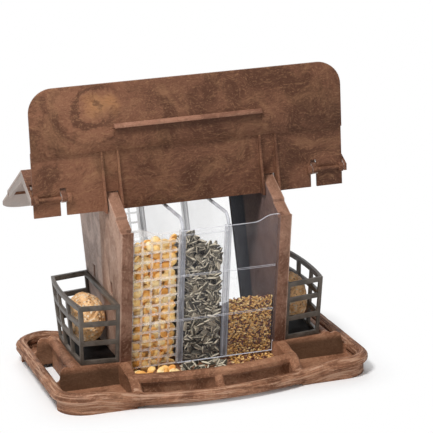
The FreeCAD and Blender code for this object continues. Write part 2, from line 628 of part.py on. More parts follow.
DIVIDER_LOW = "20"
DIVIDER_TIP = divider_edge("window_high")
half_divider = [(f"(ramp_top - {DIVIDER_LOW}) / ramp_fall", DIVIDER_LOW),
                (divider_edge(DIVIDER_LOW), DIVIDER_LOW), (DIVIDER_TIP, "window_high"),
                (DIVIDER_TIP, "divider_high")]
divider_outline = [("0", "ramp_top")] + half_divider + [(f"-({y})", z) for y, z in reversed(half_divider)]
pad(right_divider, "divider_plate", "YZ_Plane", divider_outline, ("0", "divider_thick"))
shoulders = [(f"{sign}({DIVIDER_TIP})", "divider_high") for sign in ("", "-")]
round_corners(right_divider, "shoulders", ("y", "z", shoulders), "12")
left_divider = mirrored("left_divider", right_divider, ACROSS)

# Fixed rear roof half: two courses, the ridge with a short front strip, bargeboards and hinge arms

rear_roof = new_body("rear_roof")
FOOT_Y = f"(-hinge_back - hinge_deep * {ROOF_SIN})"
FOOT_Z = f"({HINGE_Z} + hinge_deep * {ROOF_COS})"
STRIP_END = "(hinge_up + 1.2)"
LAP = "(course_rear - 4)"


def in_roof(along, deep):
    """A point beside the hinge: up the slope from the axis, and down from the roof's outer face."""
    return (f"{FOOT_Y} + {along} * {ROOF_COS} + {deep} * {ROOF_SIN}",
            f"{FOOT_Z} + {along} * {ROOF_SIN} - {deep} * {ROOF_COS}")


pad(rear_roof, "roof_sheet", "YZ_Plane", [
    in_roof(STRIP_END, "0"), ("0", "roof_apex"), ("course_rear", roof_line("course_rear")),
    ("course_rear", roof_line("course_rear", ROOF_FALL)), ("eave_rear", roof_line("eave_rear", ROOF_FALL)),
    ("eave_rear", roof_line("eave_rear", f"2 * {ROOF_FALL}")), (LAP, roof_line(LAP, f"2 * {ROOF_FALL}")),
    (LAP, roof_line(LAP, ROOF_FALL)), ("0", f"roof_apex - {ROOF_FALL}"),
    in_roof(STRIP_END, "roof_thick")], ("-roof_half", "roof_half"))
for end, sign in (("left", "-"), ("right", "")):
    waste = [("(roof_half - eave_round)", "eave_rear + 1"), ("(roof_half + 1)", "eave_rear + 1"),
             ("(roof_half + 1)", "eave_rear - eave_round"), ("roof_half", "eave_rear - eave_round"),
             ("(roof_half - eave_round)", "eave_rear")]
    turn = ("(roof_half - eave_round * (1 - cos(45)))", "eave_rear - eave_round * (1 - sin(45))")
    cut_out(rear_roof, f"{end}_eave_corner", "XY_Plane", [[(f"{sign}{x}", y) for x, y in waste]],
            ("150", "250"), bows={3: ((f"{sign}{turn[0]}", turn[1]), "eave_round")})
BOARD_IN = "(flap_half + 0.6)"
board = [("-46", roof_line("46", "0.2")), ("0", "roof_apex - 0.2"), ("82", roof_line("82", "0.2")),
         ("82", roof_line("82", "11")), ("0", "roof_apex - 13"), ("-38", roof_line("38", "13")),
         ("-46", roof_line("46", "8"))]
for end, x in (("left", ("-roof_half + 0.2", f"-{BOARD_IN}")), ("right", (BOARD_IN, "roof_half - 0.2"))):
    pad(rear_roof, f"{end}_bargeboard", "YZ_Plane", board, x)

EYE = "5"
arm = [in_roof(along, deep) for along, deep in
       (("0", "0.6"), ("32", "0.6"), ("32", "5"), ("22", "9.8"), ("0", "10.4"))]
eye_centre = ("-hinge_back", HINGE_Z)
for end, sign in (("left", "-"), ("right", "")):
    middle = f"{sign}arm_mid"
    across = (f"{middle} - arm_wide / 2", f"{middle} + arm_wide / 2")
    pad(rear_roof, f"{end}_hinge_arm", "YZ_Plane", arm, across)
    eye = new_sketch(rear_roof, f"{end}_hinge_eye_sketch", "YZ_Plane", across[0])
    draw_circle(eye, eye_centre, EYE)
    round_eye = rear_roof.newObject("PartDesign::Pad", f"{end}_hinge_eye")
    round_eye.Profile = eye
    bind(round_eye, "Length", "arm_wide")
cut_out(rear_roof, "pin_eyes", "YZ_Plane", [], ("-roof_half + 20", "roof_half - 20"),
        [(eye_centre, "pin_wide / 2 + pin_play")])
RIB_THICK = "2.5"
RIB_NEAR = f"({PANEL_IN} - 0.75)"
RIB_FAR = "(house_width / 2 + 1.75)"
rib_half = [("6", roof_line("6", "2")), ("80", roof_line("80", "2")), ("80", roof_line("80", "8")),
            ("68", roof_line("68", "15")), ("14", roof_line("14", "17")), ("6", roof_line("6", "12"))]
RIB_PAIR = (("inner", f"{RIB_NEAR} - {RIB_THICK}", RIB_NEAR), ("outer", RIB_FAR, f"{RIB_FAR} + {RIB_THICK}"))
saddle_spots = (("upper", "18", "21"), ("lower", "52", "55"))
for end, sign in (("left", -1), ("right", 1)):
    for side, low, high in RIB_PAIR:
        pad(rear_roof, f"{end}_{side}_rib", "YZ_Plane", rib_half, on_side(sign, low, high))
    for place, near, far in saddle_spots:
        web = [(near, roof_line(near, "2")), (near, f"gable_apex - roof_drop * {near}"),
               (far, f"gable_apex - roof_drop * {far}"), (far, roof_line(far, "2"))]
        pad(rear_roof, f"{end}_{place}_saddle", "YZ_Plane", web,
            on_side(sign, f"{RIB_NEAR} - 1", f"{RIB_FAR} + 1"))
cut_out(rear_roof, "roof_screw_ways", "YZ_Plane", [], ("-house_width / 2 + 12", "house_width / 2 - 12"),
        [((ROOF_SCREW_Y, ROOF_SCREW_Z), f"{ROOF_SCREW_R} + 0.2")])

# Roof flap: the front roof half, standing open; drawn in its own frame, the inner side towards -Y

roof_flap = new_body("roof_flap", ("0", "-(hinge_back - hinge_deep)", f"{HINGE_Z} - hinge_up"))
SLOT_IN = "(arm_mid - arm_wide / 2 - 0.6)"
SLOT_OUT = "(arm_mid + arm_wide / 2 + 0.6)"
SLOT_TOP = "32"
NOTCH_TOP = "22"
half_course = [("flap_half", "flap_step + 2.5"), ("flap_half", "0"), (SLOT_OUT, "0"), (SLOT_OUT, SLOT_TOP),
               (SLOT_IN, SLOT_TOP), (SLOT_IN, "0"), (RIB_FAR, "0"), (RIB_FAR, NOTCH_TOP),
               (RIB_NEAR, NOTCH_TOP), (RIB_NEAR, "0")]
course = half_course + [(f"-{x}", v) for x, v in reversed(half_course)]
pad(roof_flap, "ridge_course", "XZ_Plane", course, ("0", "roof_thick"))
pad(roof_flap, "eave_course", "XZ_Plane",
    rectangle(("-flap_half", "flap_half"), ("flap_step - 2.5", "flap_tall")),
    ("roof_thick", "2 * roof_thick"))
flap_corners = [("flap_half", "flap_tall"), ("-flap_half", "flap_tall")]
round_corners(roof_flap, "flap_corners", ("x", "z", flap_corners), "eave_round")
DRIP_AT = "97"
pad(roof_flap, "drip_rib", "XZ_Plane",
    rectangle(("-87", "87"), (f"{DRIP_AT} - 1.5", f"{DRIP_AT} + 1.5")),
    ("2 * roof_thick - 0.5", "2 * roof_thick + 5"))
stub = [("88", f"{DRIP_AT} - 11"), ("97", f"{DRIP_AT} - 13"), ("97", f"{DRIP_AT} - 5"),
        ("88", f"{DRIP_AT} - 3")]
rib_run = [("-2.5", "0.2"), ("-17", "0.2"), ("-17", "6"), ("-10", "38"), ("-5.5", "flap_step - 1"),
           ("-2.5", "flap_step - 1")]
boss = [("-2.5", "hinge_up - 5"), ("-7.5", "hinge_up - 5"), ("-9.5", "hinge_up - 2.5"),
        ("-9.5", "hinge_up + 2.5"), ("-7.5", "hinge_up + 5"), ("-2.5", "hinge_up + 5")]
for end, sign in (("left", -1), ("right", 1)):
    pad(roof_flap, f"{end}_stub", "XZ_Plane", [(f"{sign} * {x}", v) for x, v in stub],
        ("2 * roof_thick - 0.5", "2 * roof_thick + 1.7"))
    for side, low, high in RIB_PAIR:
        pad(roof_flap, f"{end}_{side}_flap_rib", "YZ_Plane", rib_run, on_side(sign, low, high))
    for side, low, high in (("slot", f"{SLOT_IN} - 5", SLOT_IN), ("end", "flap_half - 5", "flap_half")):
        pad(roof_flap, f"{end}_{side}_boss", "YZ_Plane", boss, on_side(sign, low, high))
    cut_out(roof_flap, f"{end}_pin_bore", "YZ_Plane", [], on_side(sign, f"{SLOT_IN} - 4", "flap_half - 1"),
            [(("-hinge_deep", "hinge_up"), "pin_wide / 2")])

# Hinge pins: plain moulded rods held in the flap's bosses, turning in the eyes of the fixed roof

right_pin = new_body("right_hinge_pin", (f"{SLOT_IN} - 4", "-hinge_back", HINGE_Z))
PIN_LONG = f"(flap_half - 1 - {SLOT_IN} + 4)"
pin_section = rectangle(("0", PIN_LONG), ("0", "pin_wide / 2"))
pin_sketch = new_sketch(right_pin, "pin_section", "XZ_Plane", "0")
draw(pin_sketch, pin_section)
turned_pin = right_pin.newObject("PartDesign::Revolution", "turned_pin")
turned_pin.Profile = pin_sketch
turned_pin.ReferenceAxis = (pin_sketch, ["H_Axis"])
turned_pin.Angle = 360
left_pin = mirrored("left_hinge_pin", right_pin, ACROSS)

# Fat-ball baskets: open grids that hang on the side panels by two hooks and stand on the deck

FLOOR_Z = "(deck_height + basket_gap)"
IN_X = "(house_width / 2 + basket_gap)"


def basket_plan(name, inset, z, share):
    """The basket's outline at a height, from foot (share 0) to rim (share 1)."""
    back_y = f"({panel_edge(z)} - 1.2 - {inset})"
    out_y = f"({panel_edge(z)} - 1.2 - (5.7 + 3.1 * {share}) - {inset})"
    out_x = f"(house_width / 2 + basket_reach - 2 + 2 * {share} - {inset})"
    in_x = IN_X if inset == "0" else f"({IN_X} - 1)"
    bow = f"(1.5 + 3.5 * {share})"
    sketch = doc.addObject("Sketcher::SketchObject", name)
    bind(sketch, "Placement.Base.z", z)
    radius = f"(({out_y}^2 + {bow}^2) / (2 * {bow}))"
    draw(sketch, [(in_x, f"-{back_y}"), (out_x, f"-{out_y}"), (out_x, out_y), (in_x, back_y)],
         {1: ((f"{out_x} + {bow}", "0"), radius)})
    return sketch


def basket_form(name, inset, low):
    form = doc.addObject("Part::Loft", name)
    foot_share = f"(({low} - deck_height) / (basket_top - deck_height))"
    top = "basket_top" if inset == "0" else "(basket_top + 1)"
    top_share = "1" if inset == "0" else "((basket_top + 1 - deck_height) / (basket_top - deck_height))"
    form.Sections = [basket_plan(f"{name}_foot", inset, low, foot_share),
                     basket_plan(f"{name}_rim", inset, top, top_share)]
    form.Solid = True
    form.Ruled = True
    return form


shell = take("basket_shell", basket_form("basket_outer", "0", FLOOR_Z),
             basket_form("basket_inner", "basket_wall", f"({FLOOR_Z} + 2.4)"))
BAR = "(basket_bar / 2)"
bar_heights = [f"({FLOOR_Z} + 2.4)", "62", "86", f"(basket_top - {BAR})"]
OUT_X = "(house_width / 2 + basket_reach - basket_wall - 2)"


def out_half(z):
    """Half width of the basket's outer face at a height."""
    return f"({panel_edge(z)} - 7.6 - 3.1 * ({z} - deck_height) / (basket_top - deck_height))"


gaps = []
for tier, (low, high) in enumerate(zip(bar_heights, bar_heights[1:])):
    bottom = f"({low} + {BAR})"
    top = f"({high} - {BAR})"
    for column in range(3):
        near = f"({2 * column - 3} / 3)"
        far = f"({2 * column - 1} / 3)"
        cell = [(f"{near} * {out_half(bottom)} + {BAR}", bottom),
                (f"{far} * {out_half(bottom)} - {BAR}", bottom),
                (f"{far} * {out_half(top)} - {BAR}", top), (f"{near} * {out_half(top)} + {BAR}", top)]
        gaps.append(prism(f"outer_gap_{tier}_{column}", "YZ", cell,
                          ("house_width / 2 + 34", "house_width / 2 + 60")))
    cell = [(f"{IN_X} + basket_wall", bottom), (OUT_X, bottom), (f"{OUT_X} + 1", top),
            (f"{IN_X} + basket_wall", top)]
    gaps.append(prism(f"side_gap_{tier}", "XZ", cell, ("-post_half", "post_half")))
grid = take("basket_grid", shell, join("basket_gaps", gaps))
BACK_HALF = f"({panel_edge('basket_top')} - 3.7)"
back_bar = block("basket_back_bar", (IN_X, f"{IN_X} + basket_wall"), (f"-{BACK_HALF}", BACK_HALF),
                 ("basket_top - 6", "basket_top - 0.3"))
hooks = []
for face, sign in (("front", "-"), ("rear", "")):
    z = (HOOK_LOW, f"{HOOK_LOW} + {HOOK_TALL}")
    hooks.append(block(f"{face}_hook_neck", (f"{IN_X} - 3.5", f"{IN_X} + 1"),
                       (f"{sign}hook_at - {NECK_HALF}", f"{sign}hook_at + {NECK_HALF}"), z))
    hooks.append(block(f"{face}_hook_head", (f"{IN_X} - 5.1", f"{IN_X} - 3.1"),
                       (f"{sign}hook_at - {HEAD_HALF}", f"{sign}hook_at + {HEAD_HALF}"), z))
right_basket = join("right_basket", [grid, back_bar] + hooks)
left_basket = mirrored("left_basket", right_basket, ACROSS)

doc.recompute()

# Screws: turned blanks with a round head, set in groups


def screw(shank_radius, length, head_radius, head_tall):
    """A blunt screw along +Z with its head below the origin."""
    profile = [(0, -head_tall), (head_radius, -head_tall), (head_radius, 0), (shank_radius, 0),
               (shank_radius, length), (0, length), (0, -head_tall)]
    wire = Part.makePolygon([FreeCAD.Vector(r, 0, z) for r, z in profile])
    return Part.Face(wire).revolve(FreeCAD.Vector(), FreeCAD.Vector(0, 0, 1), 360)


def screw_group(label, blank, places):
    group = doc.addObject("Part::Feature", label)
    solids = []
    for place in places:
        solid = blank.copy()
        solid.Placement = place
        solids.append(solid)
    group.Shape = Part.makeCompound(solids)
    return group


panel_mid = number(f"{PANEL_IN} + panel_thick / 2")
panel_screws = screw_group(
    "panel_screws", screw(number("screw_wide / 2"), 20, 3.5, 2.4),
    [FreeCAD.Placement(FreeCAD.Vector(x, y, number("deck_height - wall")), FreeCAD.Rotation())
     for x in (-panel_mid, panel_mid) for y in (number("-screw_at"), number("screw_at"))])
rib_face = number(f"{RIB_NEAR} - {RIB_THICK}")
roof_screws = screw_group(
    "roof_screws", screw(number(ROOF_SCREW_R), 11.5, 3, 2),
    [FreeCAD.Placement(FreeCAD.Vector(side * rib_face, number(ROOF_SCREW_Y), number(ROOF_SCREW_Z)),
                       FreeCAD.Rotation(FreeCAD.Vector(0, 0, 1), FreeCAD.Vector(side, 0, 0)))
     for side in (-1, 1)])
doc.recompute()

# Check and write every piece

PIECES = [base_tray, left_panel, right_panel, front_window, rear_window, left_divider, right_divider,
          rear_roof, roof_flap, left_pin, right_pin, left_basket, right_basket, panel_screws, roof_screws]
for item in doc.Objects:
    if "Invalid" in item.State or "Error" in item.State:
        raise RuntimeError(f"{item.Label} failed: {item.State}")
    if item.isDerivedFrom("PartDesign::Pocket") and item.Shape.Volume > item.BaseFeature.Shape.Volume - 0.01:
        raise RuntimeError(f"{item.Label} cuts nothing")
for piece in PIECES:
    if piece.Shape.isNull() or not piece.Shape.isValid():
        raise RuntimeError(f"{piece.Label} has no valid shape")

os.makedirs("parts", exist_ok=True)
for piece in PIECES:
    piece.Shape.exportStep(f"parts/{piece.Label}.step")
    box = piece.Shape.BoundBox
    print(f"{piece.Label}: {len(piece.Shape.Solids)} solid, {piece.Shape.Volume / 1000:.1f} cm3, "
          f"{box.XLength:.1f} x {box.YLength:.1f} x {box.ZLength:.1f} mm")
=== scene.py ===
import math
import random

import bpy
import numpy as np
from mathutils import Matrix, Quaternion, Vector


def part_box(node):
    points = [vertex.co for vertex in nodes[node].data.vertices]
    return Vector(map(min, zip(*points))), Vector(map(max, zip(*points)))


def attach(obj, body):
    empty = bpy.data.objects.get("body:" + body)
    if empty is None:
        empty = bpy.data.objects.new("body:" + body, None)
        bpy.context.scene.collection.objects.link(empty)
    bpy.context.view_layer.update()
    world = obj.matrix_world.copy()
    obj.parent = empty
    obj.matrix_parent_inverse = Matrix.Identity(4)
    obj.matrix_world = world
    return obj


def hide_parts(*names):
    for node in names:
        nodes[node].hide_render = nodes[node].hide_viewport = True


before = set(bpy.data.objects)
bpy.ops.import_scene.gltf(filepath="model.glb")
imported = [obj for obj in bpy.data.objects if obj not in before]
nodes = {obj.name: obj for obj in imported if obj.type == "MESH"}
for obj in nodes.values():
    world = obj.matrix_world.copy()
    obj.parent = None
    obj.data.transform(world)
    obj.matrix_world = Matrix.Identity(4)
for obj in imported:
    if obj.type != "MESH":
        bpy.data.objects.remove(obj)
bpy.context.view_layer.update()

# Base tray: one large moulding with a log-like rim, corner dishes, seed troughs and hollow plinths.
# It is plastic coloured to look like wood: brown and ochre streaks run the way it flowed into the
# mould, and the rim carries lengthwise grain lines and low knobs like a hewn log.
WELD_GAP = 0.00001
FLAT_ANGLE = math.radians(0.3)
EDGE_ANGLE = math.radians(28)
SMOOTH_ANGLE = math.radians(40)


def activate(piece):
    """Deselect everything and make one piece the one that operators act on."""
    bpy.ops.object.select_all(action="DESELECT")
    piece.select_set(True)
    bpy.context.view_layer.objects.active = piece


def moulded_copy(node, edge, corner=EDGE_ANGLE, shape=None):
    """A copy of a CAD node with its facets joined up and its edges softened.

    Edges sharper than the corner angle are softened, and the softened strips take the second material.
    """
    piece = bpy.data.objects.new(f"{node}_moulding", nodes[node].data.copy())
    bpy.context.scene.collection.objects.link(piece)
    activate(piece)
    bpy.ops.object.mode_set(mode="EDIT")
    bpy.ops.mesh.select_all(action="SELECT")
    bpy.ops.mesh.remove_doubles(threshold=WELD_GAP)
    bpy.ops.mesh.dissolve_limited(angle_limit=FLAT_ANGLE)
    bpy.ops.object.mode_set(mode="OBJECT")
    if shape:
        shape(piece)
    while len(piece.data.materials) < 2:
        piece.data.materials.append(None)
    soft = piece.modifiers.new("soft_edges", "BEVEL")
    soft.width = edge
    soft.segments = 2
    soft.limit_method = "ANGLE"
    soft.angle_limit = corner
    soft.use_clamp_overlap = True
    soft.material = 1
    bpy.ops.object.modifier_apply(modifier=soft.name)
    bpy.ops.object.shade_smooth_by_angle(angle=SMOOTH_ANGLE)
    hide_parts(node)
    return piece


def new_material(name):
    """A material with a Principled shader wired to the output."""
    material = bpy.data.materials.new(name)
    material.use_nodes = True
    tree = material.node_tree
    return material, tree, tree.nodes["Principled BSDF"]


def finish_piece(piece, body, materials):
    """Give a piece its materials and the body it moves with; each face keeps its place."""
    places = [polygon.material_index for polygon in piece.data.polygons]
    piece.data.materials.clear()
    for material in materials:
        piece.data.materials.append(material)
    piece.data.polygons.foreach_set("material_index", places)
    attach(piece, body)


def add_node(tree, kind, links=(), **values):
    """A shader node with inputs or settings given by name and others linked as (input, source) pairs."""
    node = tree.nodes.new(kind)
    for key, value in values.items():
        if hasattr(node, key):
            setattr(node, key, value)
        else:
            node.inputs[key.replace("_", " ")].default_value = value
    for name, source in links:
        tree.links.new(source, node.inputs[name])
    return node


def work_out(tree, operation, first, second=None):
    """A Math node on sockets or plain numbers."""
    node = tree.nodes.new("ShaderNodeMath")
    node.operation = operation
    for index, item in enumerate((first, second)):
        if isinstance(item, bpy.types.NodeSocket):
            tree.links.new(item, node.inputs[index])
        elif item is not None:
            node.inputs[index].default_value = item
    return node.outputs[0]


def blend_colour(tree, share, first, second):
    """A colour mix whose share, first and second may each be a socket or a plain value."""
    mix = tree.nodes.new("ShaderNodeMix")
    mix.data_type = "RGBA"
    for index, item in ((0, share), (6, first), (7, second)):
        if isinstance(item, bpy.types.NodeSocket):
            tree.links.new(item, mix.inputs[index])
        else:
            mix.inputs[index].default_value = item
    return mix.outputs[2]


def ramp_between(tree, source, low, high, to_low=0.0, to_high=1.0):
    """A value that goes smoothly from to_low at low to to_high at high."""
    stretch = add_node(tree, "ShaderNodeMapRange", [("Value", source)], interpolation_type="SMOOTHSTEP")
    for key, value in (("From Min", low), ("From Max", high), ("To Min", to_low), ("To Max", to_high)):
        stretch.inputs[key].default_value = value
    return stretch.outputs["Result"]


def axes_of(tree, vector):
    """The X, Y and Z of a vector."""
    return add_node(tree, "ShaderNodeSeparateXYZ", [("Vector", vector)]).outputs


def facing_axes(tree):
    """The X, Y and Z of the direction that a surface faces."""
    return axes_of(tree, add_node(tree, "ShaderNodeNewGeometry").outputs["Normal"])


def place_on_piece(tree):
    """A place in the piece's own axes, so that a pattern moves with the piece."""
    return add_node(tree, "ShaderNodeTexCoord").outputs["Object"]


def noise(tree, place, **values):
    """A procedural noise over a place, from 0 to 1 and mostly near 0.5."""
    return add_node(tree, "ShaderNodeTexNoise", [("Vector", place)], **values).outputs["Fac"]


def distance_past(tree, side_x, side_y, half_x, half_y):
    """How far a place lies outside a rectangle, from its distances to the rectangle's centre lines."""
    squares = []
    for side, half in ((side_x, half_x), (side_y, half_y)):
        over = work_out(tree, "MAXIMUM", work_out(tree, "SUBTRACT", side, half), 0.0)
        squares.append(work_out(tree, "POWER", over, 2.0))
    return work_out(tree, "SQRT", work_out(tree, "ADD", *squares))


def marbling_group():
    """Swirled, streaked and flecked colour of wood-look plastic, with a grain height and a varying gloss."""
    group = bpy.data.node_groups.new("wood_look_marbling", "ShaderNodeTree")
    for label, kind in (("Place", "Vector"), ("Ground", "Color"), ("Dark", "Color"), ("Light", "Color"),
                        ("Swirl Scale", "Float"), ("Light Share", "Float"), ("Streaks", "Float"),
                        ("Flecks", "Float")):
        group.interface.new_socket(label, in_out="INPUT", socket_type=f"NodeSocket{kind}")
    for label, kind in (("Color", "Color"), ("Gloss", "Float"), ("Height", "Float")):
        group.interface.new_socket(label, in_out="OUTPUT", socket_type=f"NodeSocket{kind}")
    ins = group.nodes.new("NodeGroupInput")
    outs = group.nodes.new("NodeGroupOutput")
    place = ins.outputs["Place"]
    warp = add_node(group, "ShaderNodeTexNoise", [("Vector", place)], Scale=16.0, Detail=3.0)
    pull = add_node(group, "ShaderNodeVectorMath", [(0, warp.outputs["Color"])], operation="SUBTRACT")
    pull.inputs[1].default_value = (0.5, 0.5, 0.5)
    push = add_node(group, "ShaderNodeVectorMath", [(0, pull.outputs[0])], operation="SCALE", Scale=0.05)
    bent = add_node(group, "ShaderNodeVectorMath", [(0, place), (1, push.outputs[0])],
                    operation="ADD").outputs[0]

    swirl = add_node(group, "ShaderNodeTexNoise", [("Vector", bent), ("Scale", ins.outputs["Swirl Scale"])],
                     Detail=8.0, Roughness=0.62, Distortion=1.1)
    dark_share = ramp_between(group, swirl.outputs["Fac"], 0.56, 0.40, 0.0, 0.74)
    colour = blend_colour(group, dark_share, ins.outputs["Ground"], ins.outputs["Dark"])
    patch = noise(group, bent, Scale=21.0, Detail=6.0, Roughness=0.65, Distortion=0.7)
    patch_share = work_out(group, "MULTIPLY", ramp_between(group, patch, 0.49, 0.66),
                           ins.outputs["Light Share"])
    colour = blend_colour(group, patch_share, colour, ins.outputs["Light"])

    stretched = add_node(group, "ShaderNodeMapping", [("Vector", bent)], Scale=(0.10, 1.0, 1.0))
    grain = noise(group, stretched.outputs[0], Scale=260.0, Detail=5.0, Roughness=0.7)
    short = add_node(group, "ShaderNodeMapping", [("Vector", bent)], Scale=(0.55, 1.0, 1.0))
    fleck = noise(group, short.outputs[0], Scale=560.0, Detail=3.0, Roughness=0.6)
    for field, strength in ((grain, "Streaks"), (fleck, "Flecks")):
        for tone, low, high in (("Light", 0.53, 0.69), ("Dark", 0.46, 0.31)):
            share = work_out(group, "MULTIPLY", ramp_between(group, field, low, high), ins.outputs[strength])
            colour = blend_colour(group, share, colour, ins.outputs[tone])
    height = work_out(group, "ADD", grain, work_out(group, "MULTIPLY", fleck, 0.7))
    group.links.new(colour, outs.inputs["Color"])
    group.links.new(ramp_between(group, fleck, 0.3, 0.7, 0.74, 0.56), outs.inputs["Gloss"])
    group.links.new(height, outs.inputs["Height"])
    return group


marbling = marbling_group()
GRAIN_RELIEF = 0.0005


def wood_look(name, tones, swirl_scale, light_share, streaks, flecks, turn=(0, 0, 0)):
    """Wood-look plastic in a ground, a dark and a light tone; its grain runs along X before it is turned.

    Returned with it, for later mixes: its tree, its shader, the place on the piece and the marbling.
    """
    material, tree, shader = new_material(name)
    coordinates = place_on_piece(tree)
    lay = add_node(tree, "ShaderNodeMapping", [("Vector", coordinates)], Rotation=turn)
    mottle = tree.nodes.new("ShaderNodeGroup")
    mottle.node_tree = marbling
    tree.links.new(lay.outputs[0], mottle.inputs["Place"])
    for key, value in zip(("Ground", "Dark", "Light", "Swirl Scale", "Light Share", "Streaks", "Flecks"),
                          (*tones, swirl_scale, light_share, streaks, flecks)):
        mottle.inputs[key].default_value = value
    bump = add_node(tree, "ShaderNodeBump", [("Height", mottle.outputs["Height"])], Strength=0.8,
                    Distance=GRAIN_RELIEF)
    tree.links.new(mottle.outputs["Color"], shader.inputs["Base Color"])
    tree.links.new(mottle.outputs["Gloss"], shader.inputs["Roughness"])
    tree.links.new(bump.outputs["Normal"], shader.inputs["Normal"])
    shader.inputs["Specular IOR Level"].default_value = 0.2
    return material, tree, shader, coordinates, mottle


TRAY_HALF = 0.188
TRAY_SIDE = 0.130
TRAY_CORNER = 0.038
TRAY_BOW = 0.017
TRAY_EDGE = 0.0011
PERCH_HALF = 0.097
RIM_WIDE = 0.013
RIM_FADE = (RIM_WIDE + 0.0015, RIM_WIDE - 0.0005)
RISE_FROM = 0.095
RISE_TO = 0.146
RISE_HIGH = 0.008
TRAY_TONES = ((0.262, 0.118, 0.064, 1), (0.108, 0.041, 0.019, 1), (0.50, 0.275, 0.162, 1))
TRAY_HIGHLIGHT_TONES = ((0.36, 0.185, 0.112, 1), (0.20, 0.090, 0.050, 1), (0.57, 0.355, 0.240, 1))
LINE_STRETCH = 0.07
LINE_RELIEF = 1.6
LINE_PALE = (0.55, 0.345, 0.235, 1)
LINE_DARK = (0.085, 0.034, 0.018, 1)
DISH_WALL_SHADE = (0.052, 0.024, 0.010, 1)
DISH_SHADE_HEIGHTS = (0.036, 0.027)
DISH_SHADE_SHARE = 0.84
DISH_X = ((0.099, 0.103), (0.174, 0.170))
DISH_Y = ((0.055, 0.059), (0.113, 0.108))
tray_brown, tree, shader, coordinates, mottle = wood_look(
    "tray_wood_look", TRAY_TONES, swirl_scale=22.0, light_share=0.36, streaks=0.38, flecks=0.46)
axes = axes_of(tree, coordinates)
side_x = work_out(tree, "ABSOLUTE", axes["X"])
side_y = work_out(tree, "ABSOLUTE", axes["Y"])
bow = work_out(tree, "POWER", work_out(tree, "DIVIDE", side_x, PERCH_HALF), 2.0)
bow = work_out(tree, "MAXIMUM", work_out(tree, "SUBTRACT", 1.0, bow), 0.0)
unbowed_y = work_out(tree, "SUBTRACT", side_y, work_out(tree, "MULTIPLY", bow, TRAY_BOW))
corner_reach = distance_past(tree, side_x, unbowed_y, TRAY_HALF - TRAY_CORNER, TRAY_SIDE - TRAY_CORNER)
inset = work_out(tree, "SUBTRACT", TRAY_CORNER, corner_reach)
level = work_out(tree, "SUBTRACT", axes["Z"], ramp_between(tree, side_x, RISE_FROM, RISE_TO, 0.0, RISE_HIGH))
run_along = work_out(tree, "MULTIPLY", work_out(tree, "ADD", axes["X"], axes["Y"]), LINE_STRETCH)
flow = add_node(tree, "ShaderNodeCombineXYZ", [("X", inset), ("Y", level), ("Z", run_along)])
lines = noise(tree, flow.outputs[0], Scale=330.0, Detail=4.0, Roughness=0.65, Distortion=0.25)
on_rim = ramp_between(tree, inset, *RIM_FADE)
colour = mottle.outputs["Color"]
for low, high, strength, tone in ((0.50, 0.62, 0.62, LINE_PALE), (0.48, 0.36, 0.72, LINE_DARK)):
    line = work_out(tree, "MULTIPLY", ramp_between(tree, lines, low, high), on_rim)
    colour = blend_colour(tree, work_out(tree, "MULTIPLY", line, strength), colour, tone)
# Painted shade: the walls inside the corner dishes are darkened towards their floors, where shade falls.
wall_shade_share = work_out(tree, "MULTIPLY", ramp_between(tree, facing_axes(tree)["Z"], 0.65, 0.30),
                 ramp_between(tree, axes["Z"], *DISH_SHADE_HEIGHTS, 0.0, DISH_SHADE_SHARE))
for reach, limits in ((side_x, DISH_X), (side_y, DISH_Y)):
    for low, high in limits:
        wall_shade_share = work_out(tree, "MULTIPLY", wall_shade_share, ramp_between(tree, reach, low, high))
tree.links.new(blend_colour(tree, wall_shade_share, colour, DISH_WALL_SHADE), shader.inputs["Base Color"])
line_height = work_out(tree, "MULTIPLY", work_out(tree, "MULTIPLY", lines, on_rim), LINE_RELIEF)
bump = shader.inputs["Normal"].links[0].from_node
tree.links.new(work_out(tree, "ADD", mottle.outputs["Height"], line_height), bump.inputs["Height"])
# Painted highlight: the tray's softened edge strips take a lighter mix, as edges that catch the light.
tray_edge_highlight = wood_look("tray_painted_edge_highlight", TRAY_HIGHLIGHT_TONES, swirl_scale=22.0, light_share=0.40, streaks=0.40,
                      flecks=0.46)[0]
tray = moulded_copy("base_tray", TRAY_EDGE)
finish_piece(tray, "house", [tray_brown, tray_edge_highlight])

# Grain of the rim: raised lines that run along the log-like rim, part of the same moulding as the tray.
# They wander a little, fade out at both ends and lie half sunk in the rim's surface.
PERCH_TOP = 0.017
LOG_DEEP = 0.0068
LOG_NEAR = 0.0035
LOG_FAR = 0.0100
GRAIN_STEP = 0.004
GRAIN_FROM = 0.0125
GRAIN_RADIUS = 0.0008
GRAIN_SINK = 0.00035
GRAIN_ANGLES = (-38, -18, 2, 24, 44, 62, 82, 104, 128)
GRAIN_WANDER = ((7, 0.23, 1), (4, 0.61, 2))
TIP_RADIUS = 0.15
TAPER_STEP = 0.3
FIRST_RUN = (10, 30)
NEXT_RUN = (12, 36)
BREAK_STEPS = (1, 6)
SHORTEST_RUN = 5


